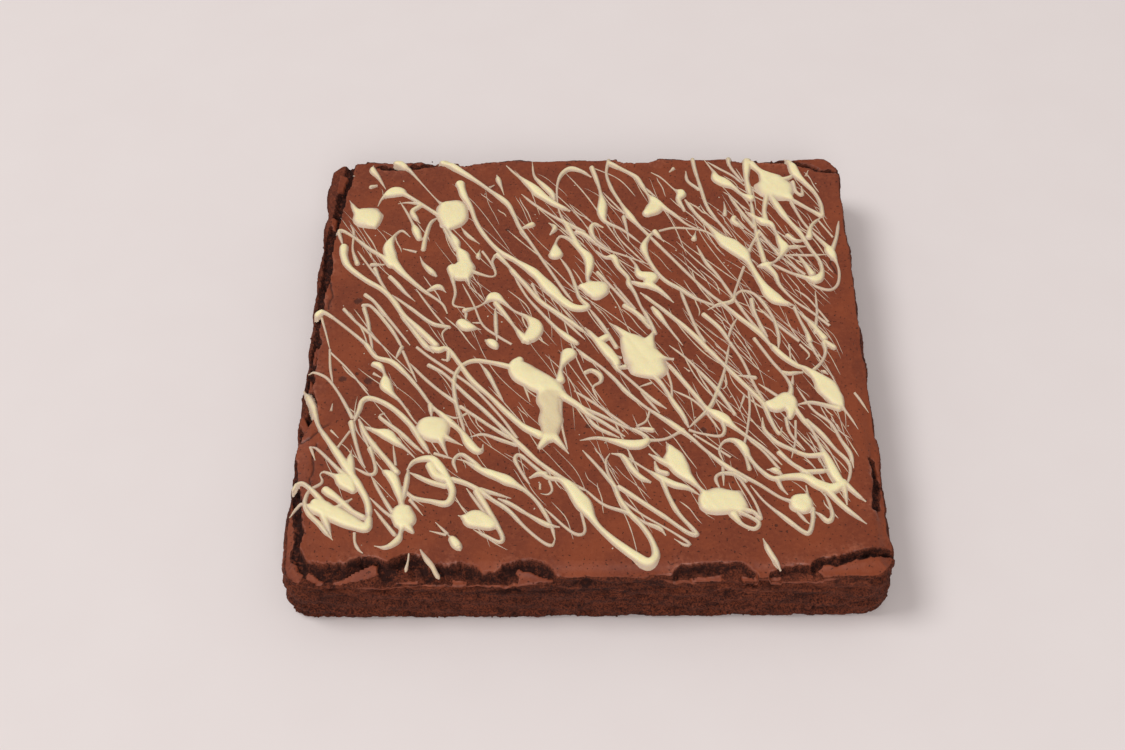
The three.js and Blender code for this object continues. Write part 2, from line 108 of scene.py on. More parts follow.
def corner_values(ix, iy, iz, seed):
    """A repeatable value between -1 and 1 for every corner of a grid."""
    mixed = sum(part * prime for part, prime in zip((ix, iy, iz, seed), PRIMES)) & LOWEST_BITS
    mixed = ((mixed ^ (mixed >> 13)) * PRIMES[2]) & LOWEST_BITS
    mixed = mixed ^ (mixed >> 16)
    return mixed / 2.0**31 - 1


def noise(x, y, z, cell, seed):
    """Smooth bumps between about -1 and 1, one cell across. The seed picks the pattern.

    A cell may differ along x, y and z.
    """
    size = np.broadcast_to(np.asarray(cell, float), (3,))
    x, y, z = np.broadcast_arrays(x / size[0], y / size[1], z / size[2])
    base = [np.floor(axis).astype(np.int64) for axis in (x, y, z)]
    part = [axis - start for axis, start in zip((x, y, z), base)]
    ease = [p * p * p * (p * (6 * p - 15) + 10) for p in part]
    total = np.zeros(x.shape)
    for corner in range(8):
        step = (corner & 1, corner >> 1 & 1, corner >> 2 & 1)
        weight = np.ones(x.shape)
        for share, one in zip(ease, step):
            weight = weight * (share if one else 1 - share)
        corners = [start + one for start, one in zip(base, step)]
        total += weight * corner_values(*corners, seed)
    return total


def smooth(low, high, value):
    """0 below low, 1 above high and an even slope between them."""
    share = np.clip((value - low) / (high - low), 0, 1)
    return share * share * (3 - 2 * share)


print("noise at one place:", round(float(noise(1.3, 2.7, 0.4, 1.0, 1)), 3))

# %% [markdown]
# The slab repeats the driving sizes of the solid. Its outline is a square with round corners, and every
# loop of the mesh is the same walk round it at another distance in from the edge. A plain grid would
# waste its points on the calm middle. Loops suit a baked slab, because it changes from the rim inwards:
# wall, broken rim, smooth crust. The front and left sides have the most to show, so they get more points
# than the other two.

# %% Sizes of the slab in mm
CRUST = 25
CORNER = 9
INNER_CORNER = 0.7
SHARPEST_CORNER = 3
SIDE_STEPS = (500, 300, 300, 440)
CORNER_STEPS = 34
STRAIGHT_SHARE = 0.9


def walk_round():
    """Shares of the way round: whole numbers are sides, and a corner ends each of them."""
    walk = []
    for side, steps in enumerate(SIDE_STEPS):
        walk.append(side + np.linspace(0, STRAIGHT_SHARE, steps, endpoint=False))
        walk.append(side + np.linspace(STRAIGHT_SHARE, 1, CORNER_STEPS, endpoint=False))
    return np.concatenate(walk)


def plan_point(walk, inset):
    """A place on the loop that runs some distance in from the edge, counted from the front left."""
    side, rest = np.divmod(walk, 1)
    radius = np.maximum(CORNER - INNER_CORNER * inset, SHARPEST_CORNER)
    radius = np.minimum(radius, HALF - inset)
    straight = HALF - inset - radius
    along = -straight + 2 * straight * rest / STRAIGHT_SHARE
    angle = np.clip((rest - STRAIGHT_SHARE) / (1 - STRAIGHT_SHARE), 0, 1) * math.pi / 2
    on_corner = rest >= STRAIGHT_SHARE
    x = np.where(on_corner, straight + radius * np.sin(angle), along)
    y = np.where(on_corner, -straight - radius * np.cos(angle), -HALF + inset)
    turn = side * math.pi / 2
    return x * np.cos(turn) - y * np.sin(turn), x * np.sin(turn) + y * np.cos(turn)


WALK = walk_round()
print("points round the slab:", len(WALK))

# %% [markdown]
# The rim of a baked slab cracks where the middle pulls away from it. Carving the cracks with noise alone
# would put them anywhere, so each is a path with a few corners, drawn where the real one runs. A place
# then asks for its nearest crack, how far away it is and on which side. The outer side has dropped.

# %% Cracks and hairlines
# Width, depth, fall of the rim outside, share of skin that is left there, and the way the crack runs
CRACKS = [
    (3.4, 4, 3, 0.85, [(-102.4, -54), (-100.8, -64), (-98.6, -75), (-97.4, -84), (-97.6, -91),
                       (-94, -97.4)]),
    (3.4, 4, 3.2, 0, [(-94, -97.4), (-88.5, -99.4), (-80, -99), (-75.3, -96.4), (-70.7, -96.6),
                      (-66, -99.2)]),
    (3.2, 4, 3.2, 0, [(-66, -99.2), (-61.5, -95.2), (-55.8, -96), (-52.6, -100)]),
    (2.2, 3.4, 3.2, 0, [(-52.6, -100), (-49, -98.2), (-46, -98.7), (-43, -97.9), (-40, -98.7),
                        (-37, -100.4)]),
    (2.2, 3, 3, 0, [(-37, -100.4), (-35, -101.4), (-29.8, -101.2), (-27.4, -98.8), (-25.4, -98.6)]),
    (2.5, 3.6, 3, 0, [(-25.4, -98.6), (-19, -97.6), (-14, -98.8), (-9, -102.6)]),
    (1.7, 2.2, 1.6, 0, [(29.5, -101), (32, -99.4), (36, -99.3), (41, -98.4), (43, -98.2), (46, -99)]),
    (1.5, 2, 1.6, 0.3, [(46, -99), (51, -98.8), (53, -99.8), (55.5, -101.6)]),
    (1.8, 1.6, 0.6, 0, [(62, -101.4), (66, -100.4), (75, -99.8)]),
    (2.4, 2.6, 0.6, 0.9, [(75.6, -98.8), (77.7, -96.8), (84.2, -96), (91.6, -94.4), (101.5, -92.4)]),
    (2, 2, 0.5, 0.9, [(99, -54), (100.5, -64), (98.5, -75)]),
    (3.4, 2.8, 0.8, 0.5, [(-94.5, 101), (-95.5, 91.5), (-97, 78), (-99.6, 55), (-98.9, 36), (-100.6, 10)]),
    (3.2, 2.8, 1.2, 0.4, [(-100.6, 10), (-98.8, 2.4), (-100.8, -7), (-99.6, -20), (-97.2, -29),
                          (-102, -43)]),
    (2.4, 2.2, 0.5, 0.9, [(-82, 98.5), (-76, 98.4), (-60, 100.4), (-45, 101.2), (-31, 102.4)]),
    (2, 1.8, 0.4, 0.9, [(14, 102), (20, 101), (27, 101.4), (31, 102.4)]),
    (2.4, 2.2, 0.5, 0.9, [(60, 102), (68.5, 100.4), (77, 100.2), (86, 98.9), (95, 95), (102, 93.4)]),
]
HAIRLINES = [
    [(-94.4, -46), (-95.6, -52), (-94.9, -58), (-95.4, -65)],
    [(-93, -38), (-97, -43), (-101, -45)],
    [(-97, 34), (-95.5, 27), (-96.5, 20)],
    [(96, 50), (94.5, 42), (96, 36)],
]
FAR = 1e3


def inset_of(x, y):
    """How far in from the nearest side a place lies."""
    return HALF - np.maximum(np.abs(x), np.abs(y))


def nearest_on(x, y, path):
    """Distance to the nearest place on a path, and that place's own inset."""
    away = np.full(x.shape, FAR)
    inset = np.zeros(x.shape)
    for (ax, ay), (bx, by) in zip(path, path[1:]):
        dx, dy = bx - ax, by - ay
        along = np.clip(((x - ax) * dx + (y - ay) * dy) / (dx * dx + dy * dy), 0, 1)
        px, py = ax + along * dx, ay + along * dy
        gap = np.hypot(x - px, y - py)
        closer = gap < away
        away = np.where(closer, gap, away)
        inset = np.where(closer, inset_of(px, py), inset)
    return away, inset


def nearest_crack(x, y):
    """Distance to the nearest crack, negative on its outer side, and that crack's other numbers."""
    away = np.full(x.shape, FAR)
    found = np.zeros((5, *x.shape))
    found[4] = 1
    for width, depth, outer_fall, kept, path in CRACKS:
        gap, inset = nearest_on(x, y, path)
        closer = gap < away
        away = np.where(closer, gap, away)
        for row, value in enumerate((width, depth, outer_fall, kept, np.sign(inset_of(x, y) - inset))):
            found[row] = np.where(closer, value, found[row])
    return away * found[4], *found[:4]


print("cracks:", len(CRACKS), "hairlines:", len(HAIRLINES))

# %% [markdown]
# No slab bakes level. This one swells slowly over its top, hangs a little along the front and stands up
# along the back. One long noise and one slope are enough for that.

# %% Slow shape of the crust
SWELL_HEIGHT = 0.35
SWELL_LENGTH = 46.0
FRONT_DROP = 2.3
BACK_RISE = 0.6
RIM_STARTS = 1.7
RIM_FLAT = 6.5


def swell(x, y):
    """The slow rise and fall of the crust, which fades out at the rim."""
    return SWELL_HEIGHT * noise(x, y, 0.0, SWELL_LENGTH, 3) * smooth(2, 16, inset_of(x, y))


def edge_drop(x, y):
    """The crust falls along the front and stands up a little along the back."""
    drop = (FRONT_DROP - BACK_RISE) / 2 - (FRONT_DROP + BACK_RISE) / 2 * (y / HALF)
    return drop * (1 - smooth(RIM_STARTS, RIM_FLAT, inset_of(x, y)))


print("fall of the crust along the front in mm:", round(float(edge_drop(0.0, -HALF)), 2))

# %% [markdown]
# Where the rim broke away, a few splinters of crust lie on the bare crumb. Each is a slanted plate that
# narrows to one end. Its row gives its place, size and turn, and noise frays its outline.

# %% Splinters of crust
# x, y, half length, half width at both ends, turn, and height from the crust at both ends
SPLINTERS = [
    (-77.3, -99.8, 8.6, 0.3, 1.9, 15, -4.2, -1.8),
    (-90.5, -100.4, 3.4, 1.4, 0.9, -25, -3.4, -3.8),
    (-97.2, -99.2, 2.4, 1.3, 1, -45, -3, -3.2),
    (-16.5, -100.8, 6.2, 1.9, 0.9, -10, -2.8, -3.2),
    (-42, -101.4, 2.6, 0.9, 0.5, 4, -3.6, -3.8),
    (-60, -101.6, 4, 0.4, 0.8, 2, -4, -3.8),
    (40, -101.2, 5, 0.5, 0.9, 3, -3, -2.8),
    (58, -101.6, 7, 0.8, 0.5, 0, -2.6, -2.4),
    (-97.4, 90, 4.6, 1.1, 1.5, 84, -1.1, -0.7),
    (-98.6, 67, 3.2, 0.6, 1.2, 92, -1.2, -1),
    (-99, -3, 3.6, 0.7, 1.4, 78, -1.4, -0.9),
    (-99.6, -17, 3, 1, 0.5, 96, -1.5, -1.2),
    (-99.8, -37, 5, 0.8, 1.6, 116, -0.9, 0.2),
    (-54, 101.6, 6, 0.8, 0.5, 4, -0.8, -0.6),
]
SPLINTER_TILT = 0.3


def splinter_cover(x, y):
    """1 on the splinters of skin that lie outside the cracks, and their height from the crust."""
    cover = np.zeros(x.shape)
    level = np.zeros(x.shape)
    ragged = 0.16 * noise(x, y, 0.0, 2.3, 21) + 0.09 * noise(x, y, 0.0, 0.9, 22)
    for px, py, half_length, start, end, turn, start_level, end_level in SPLINTERS:
        c, s = math.cos(math.radians(turn)), math.sin(math.radians(turn))
        along = ((x - px) * c + (y - py) * s) / half_length
        share = np.clip((along + 1) / 2, 0, 1)
        across = ((y - py) * c - (x - px) * s) / (start + (end - start) * share)
        here = smooth(1.06, 0.92, np.maximum(np.abs(along), np.abs(across)) + ragged)
        slanted = start_level + (end_level - start_level) * share + SPLINTER_TILT * across
        level = np.where(here > cover, slanted, level)
        cover = np.maximum(cover, here)
    return cover, level


print("splinters:", len(SPLINTERS))

# %% [markdown]
# A brownie's crust is sugar that has dried into a skin. When the middle rises more than the rim, the
# skin tears along the sides of the tin. Its torn margin is thin and ragged and curls up a little, and the
# gap beside it shows wet dark crumb. Sculpting that by hand would take hours, so the distance to the
# crack decides it: a groove inside, a curl at the margin, wrinkles behind. Each point also gets three
# measures for its finish: how much skin it carries; how dark it is, which is the bare crumb's own darker
# tone together with shade painted into the cracks and hairlines by their depth; and how near the margin,
# where a highlight is painted.

# %% Height of the crust
REACH_OF_CRACKS = 9
SCALLOP = 0.7
TEAR = 0.18
MARGIN_EDGE = 0.22
MARGIN_SPREAD = 1.6
CURL_HEIGHT = 0.16
WRINKLE_HEIGHT = 0.22
HAIRLINE = 0.32
HAIRLINE_DEPTH = 0.5


def crust_shape(x, y):
    """Height of the top, and its skin, dark crumb with painted shade, and margin measures."""
    away, width, depth, outer_fall, kept = nearest_crack(x, y)
    scallop = np.abs(noise(x, y, 0.0, 3.1, 11)) + 0.3 * np.abs(noise(x, y, 0.0, 1.9, 19)) - 0.45
    away = away + SCALLOP * (noise(x, y, 0.0, 7.0, 10) + scallop) + 0.12 * noise(x, y, 0.0, 1.6, 12)
    margin = 0.45 * width
    inside = smooth(margin - TEAR, margin + TEAR, away)
    outside = smooth(0.25 * width, 0.8 * width, -away)
    groove = depth * (1 - inside) * (1 - outside)
    fall = outer_fall * (away < margin) * (1 - smooth(1.5 * width, 3 * width, np.abs(away)))
    lowered = np.maximum(groove, fall)
    strip = kept * smooth(0.5 * width, 0.5 * width + 0.4, -away - 0.5 * noise(x, y, 0.0, 2.1, 16))
    cover, level = splinter_cover(x, y)
    cover = cover * (1 - inside)
    outer_skin = np.maximum(cover, strip * (1 - inside))
    far = np.abs(away) > REACH_OF_CRACKS
    shown = np.clip(0.5 + (away - margin - MARGIN_EDGE) / MARGIN_SPREAD, 0, 1)
    shown = np.where(far, 1.0, np.maximum(shown, outer_skin))
    skin = np.where(far, 1.0, np.maximum(inside, outer_skin))
    bare = 1 - skin
    crumbly = 0.6 * noise(x, y, 0.0, 2.4, 13) + 0.5 * noise(x, y, 0.0, 1.2, 14)
    top = CRUST + swell(x, y) - edge_drop(x, y)
    shape = top - lowered + bare * (crumbly - 0.3)
    shape = shape + cover * (top + level - shape)
    curl = np.exp(-(((away - margin - 0.5) / 0.7) ** 2)) * (~far) * inside
    wrinkle = np.exp(-(((away - margin - 2.2) / 2.2) ** 2)) * (~far) * inside
    shape = shape + curl * (CURL_HEIGHT + 0.2 * noise(x, y, 0.0, 2.6, 15))
    shape = shape + wrinkle * (WRINKLE_HEIGHT * np.abs(noise(x, y, 0.0, (3.4, 3.4, 1), 17)) - 0.05)
    hair = np.zeros(x.shape)
    for path in HAIRLINES:
        gap, _ = nearest_on(x + 0.5 * noise(x, y, 0.0, 2.2, 18), y, path)
        hair = np.maximum(hair, np.exp(-((gap / HAIRLINE) ** 2)))
    # The further into a crack, the darker it is painted: painted shade in the groove, added to the bare
    # crumb's own darker, uneven tone.
    shaded = groove * smooth(-1.1 * width, 0.2 * width, away) / 2.6
    deep = np.clip(shaded * (1 - outer_skin) + 0.2 * bare - 0.35 * bare * crumbly, 0, 1)
    # Patches near the torn margin, where the finish paints a highlight.
    patchy = smooth(-0.1, 0.55, noise(x, y, 0.0, 5.0, 20))
    near_margin = (curl + 0.4 * wrinkle) * (0.15 + patchy)
    # Hairlines are darkened as well: painted shade in their fine grooves.
    return shape - HAIRLINE_DEPTH * hair, shown, np.maximum(deep, hair), near_margin


TOP_AT_CENTRE = crust_shape(np.zeros(1), np.zeros(1))[0][0]
print("height of the crust at its centre in mm:", round(float(TOP_AT_CENTRE), 2))

# %% [markdown]
# The wall took its shape from the tin. It is upright, stands in a little at its foot, and is porous and
# faintly layered, with a thin lip of crust at its top. Displacing a flat wall by a texture would do, but
# then the finish couldn't know where a pore is. Here the same noises give both the depth and the measures.

# %% Shape of the wall
WALL = [(0, 0.9), (1, 0.4), (7, 0.6), (14, 0.6), (19, 0.8), (23.3, 0.9)]
FOOT_HEIGHT = 8
FOOT_SIDES = (0, 0.1, 0.8, 1, 1.9, 2, 2.9, 3, 3.9, 4)
FOOT_INSETS = (0.4, 0, 0, 0.9, 0.9, 0.8, 0.8, 1.6, 1.2, 0.4)
DENSE_LAYERS = [(-58, 26, 15.5, 2), (-16, 36, 20, 2.4)]
LAYER_DEPTH = 0.34
PORE_DEPTH = 0.45
DENT_DEPTH = 0.6
LIP_DEPTH = 0.45
LIP_BELOW_TOP = 1.1
LIP_HALF_HEIGHT = 0.7
CLEAR_OF_SOLID = 0.05


def wall_shape(walk, height, highest):
    """How far in the wall stands, and its skin, dark crumb with painted shade, and margin measures."""
    heights, insets = zip(*WALL)
    inset = np.interp(height, heights, insets)
    foot = 1 - smooth(0, FOOT_HEIGHT, height)
    inset = inset + foot * np.interp(walk, FOOT_SIDES, FOOT_INSETS)
    angle = 2 * math.pi * walk / 4
    slow = 0.35 * np.sin(17 * angle + height) + 0.3 * np.sin(41 * angle - 0.7 * height)
    inset = inset + slow * smooth(0, 1.6, height)
    x, y = plan_point(walk, inset)
    upper = smooth(11, 17, height)
    layers = noise(x, y, height, (11, 11, 1.3), 31) + 0.5 * noise(x, y, height, (5, 5, 0.8), 32)
    crumb = noise(x, y, height, 1.5, 33) + 0.8 * noise(x, y, height, 0.8, 34)
    pores = smooth(0.3, 0.7, noise(x, y, height, 1.3, 35))
    dents = smooth(0.35, 0.8, noise(x, y, height, (6, 6, 2.4), 36))
    inset = inset + LAYER_DEPTH * layers * upper + (0.2 - 0.08 * upper) * crumb
    inset = inset + PORE_DEPTH * pores * (1 - 0.5 * upper) + DENT_DEPTH * dents
    lip_height = WALL[-1][0] - LIP_BELOW_TOP + 0.5 * noise(x, y, 0.0, 17.0, 37)
    lip = np.exp(-(((height - lip_height) / LIP_HALF_HEIGHT) ** 2)) * smooth(24, 20, highest)
    inset = inset - LIP_DEPTH * lip
    patches = smooth(0.15, 0.6, noise(x, y, height, (10, 10, 1.8), 38))
    skin = np.clip(0.4 * patches * upper + 0.55 * lip, 0, 1)
    dense = np.zeros(x.shape)
    for start, stop, middle, half_height in DENSE_LAYERS:
        along = smooth(start, start + 14, x) * smooth(stop, stop - 14, x) * (y < 10 - HALF)
        dense = np.maximum(dense, along * np.exp(-(((height - middle - layers) / half_height) ** 2)))
    skin = skin * (1 - dense)
    # Darker in pores, dents and the inward folds of the layers, which is painted shade in the hollows; the
    # dense layers are darker crumb of their own.
    deep = np.clip(0.45 * pores + 0.5 * dents + 0.2 * layers * upper + 0.6 * dense, 0, 1)
    inset = CLEAR_OF_SOLID + np.maximum(inset - CLEAR_OF_SOLID, 0)
    # The lip's margin measure marks where a highlight is painted on the wall's top edge.
    return inset, skin, deep * smooth(0, 1.2, height), 0.5 * lip


print("dense layers in the front wall:", len(DENSE_LAYERS))

# %% [markdown]
# Now the loops are stacked: up the wall, over the rim and in to the middle, with a point at the centre of
# the base and another at the centre of the top. Neighbouring loops are joined by four-sided faces, and
# the calm middle keeps only every fourth point. The three measures are stored on the mesh.

# %% Join the loops into the slab
UPPER_WALL = 14
UNDER_RIM = 0.35
CRUST_STARTS = 10.5
WALL_STEP = 0.72
RIM_STEP = 0.42
INNER_LOOPS = (13, 15.5, 19, 24, 31, 40, 51, 64, 78, 91)
THINNING = 4


def slab_loops():
    """Every loop of the slab from the base to the middle, as points and measures."""
    loops = []
    at_rim = plan_point(WALK, np.full(len(WALK), RIM_STARTS))
    highest = crust_shape(*at_rim)[0] - UNDER_RIM
    wall_top = WALL[-1][0]
    for height in np.linspace(0, wall_top, int(wall_top / WALL_STEP) + 1):
        inset, *measures = wall_shape(WALK, np.full(len(WALK), height), highest)
        x, y = plan_point(WALK, inset)
        raised = max(0, height - UPPER_WALL) / (wall_top - UPPER_WALL)
        uneven = 0.15 * noise(x, y, height, 1.5, 41) if height > 0 else 0
        loops.append((x, y, np.maximum(height + raised * (highest - wall_top) + uneven, 0), *measures))
    for inset in (*np.arange(RIM_STARTS, CRUST_STARTS, RIM_STEP), *INNER_LOOPS):
        walk = WALK if inset < CRUST_STARTS else WALK[::THINNING]
        x, y = plan_point(walk, np.full(len(walk), float(inset)))
        near_edge = max(0.0, 1 - inset / CRUST_STARTS)
        x, y = plan_point(walk, inset + near_edge * 0.4 * noise(x, y, 0.0, 5.0, 42))
        loops.append((x, y, *crust_shape(x, y)))
    return loops


def mesh_object(name, points, faces):
    """A closed, smooth shaded object whose place is in its mesh. Points are in mm."""
    mesh = bpy.data.meshes.new(name)
    mesh.from_pydata((np.asarray(points) * MM).tolist(), [], faces)
    mesh.update()
    made = bpy.data.objects.new(name, mesh)
    bpy.context.scene.collection.objects.link(made)
    mesh.shade_smooth()
    return made


def store(mesh, name, values):
    """Keeps one number for each point, for the materials to read."""
    mesh.attributes.new(name, "FLOAT", "POINT").data.foreach_set("value", np.asarray(values, np.float32))


def ring_faces(outer, inner):
    """Faces between two loops. Where the inner one has fewer points, each face takes several outer ones."""
    each = len(outer) // len(inner)
    faces = []
    for k in range(len(inner)):
        from_outer = [outer[(k * each + i) % len(outer)] for i in range(each + 1)]
        faces.append([*from_outer, inner[(k + 1) % len(inner)], inner[k]])
    return faces


def make_slab():
    loops = slab_loops()
    starts = np.cumsum([0] + [len(loop[0]) for loop in loops])
    numbers = [list(range(a, b)) for a, b in zip(starts, starts[1:])]
    table = np.concatenate([np.stack(loop, axis=1) for loop in loops])
    below, above = len(table), len(table) + 1
    table = np.concatenate([table, [[0, 0, 0, 0, 0, 0], [0, 0, TOP_AT_CENTRE, 1, 0, 0]]])
    faces = []
    for outer, inner in zip(numbers, numbers[1:]):
        faces += ring_faces(outer, inner)
    first, last = numbers[0], numbers[-1]
    faces += [[below, first[(k + 1) % len(first)], first[k]] for k in range(len(first))]
    faces += [[above, last[k], last[(k + 1) % len(last)]] for k in range(len(last))]
    made = mesh_object("slab", table[:, :3], faces)
    for column, name in enumerate(("skin", "deep", "margin"), start=3):
        store(made.data, name, table[:, column])
    return made


def triangles_of(made):
    return sum(len(face.vertices) - 2 for face in made.data.polygons)


slab = make_slab()
print("triangles of the slab:", triangles_of(slab))

# %% [markdown]
# The poured chocolate fell from a spoon that swept from the far left to the near right. Every flow is
# written as a few stations along it: x, y and the width there. A pool is a flow with one wide station,
# a comet has a wide head and a thin tail, and a hook turns back on itself. That way one kind of row
# describes the whole pour. The widest of the flows below are also in the packed solid.

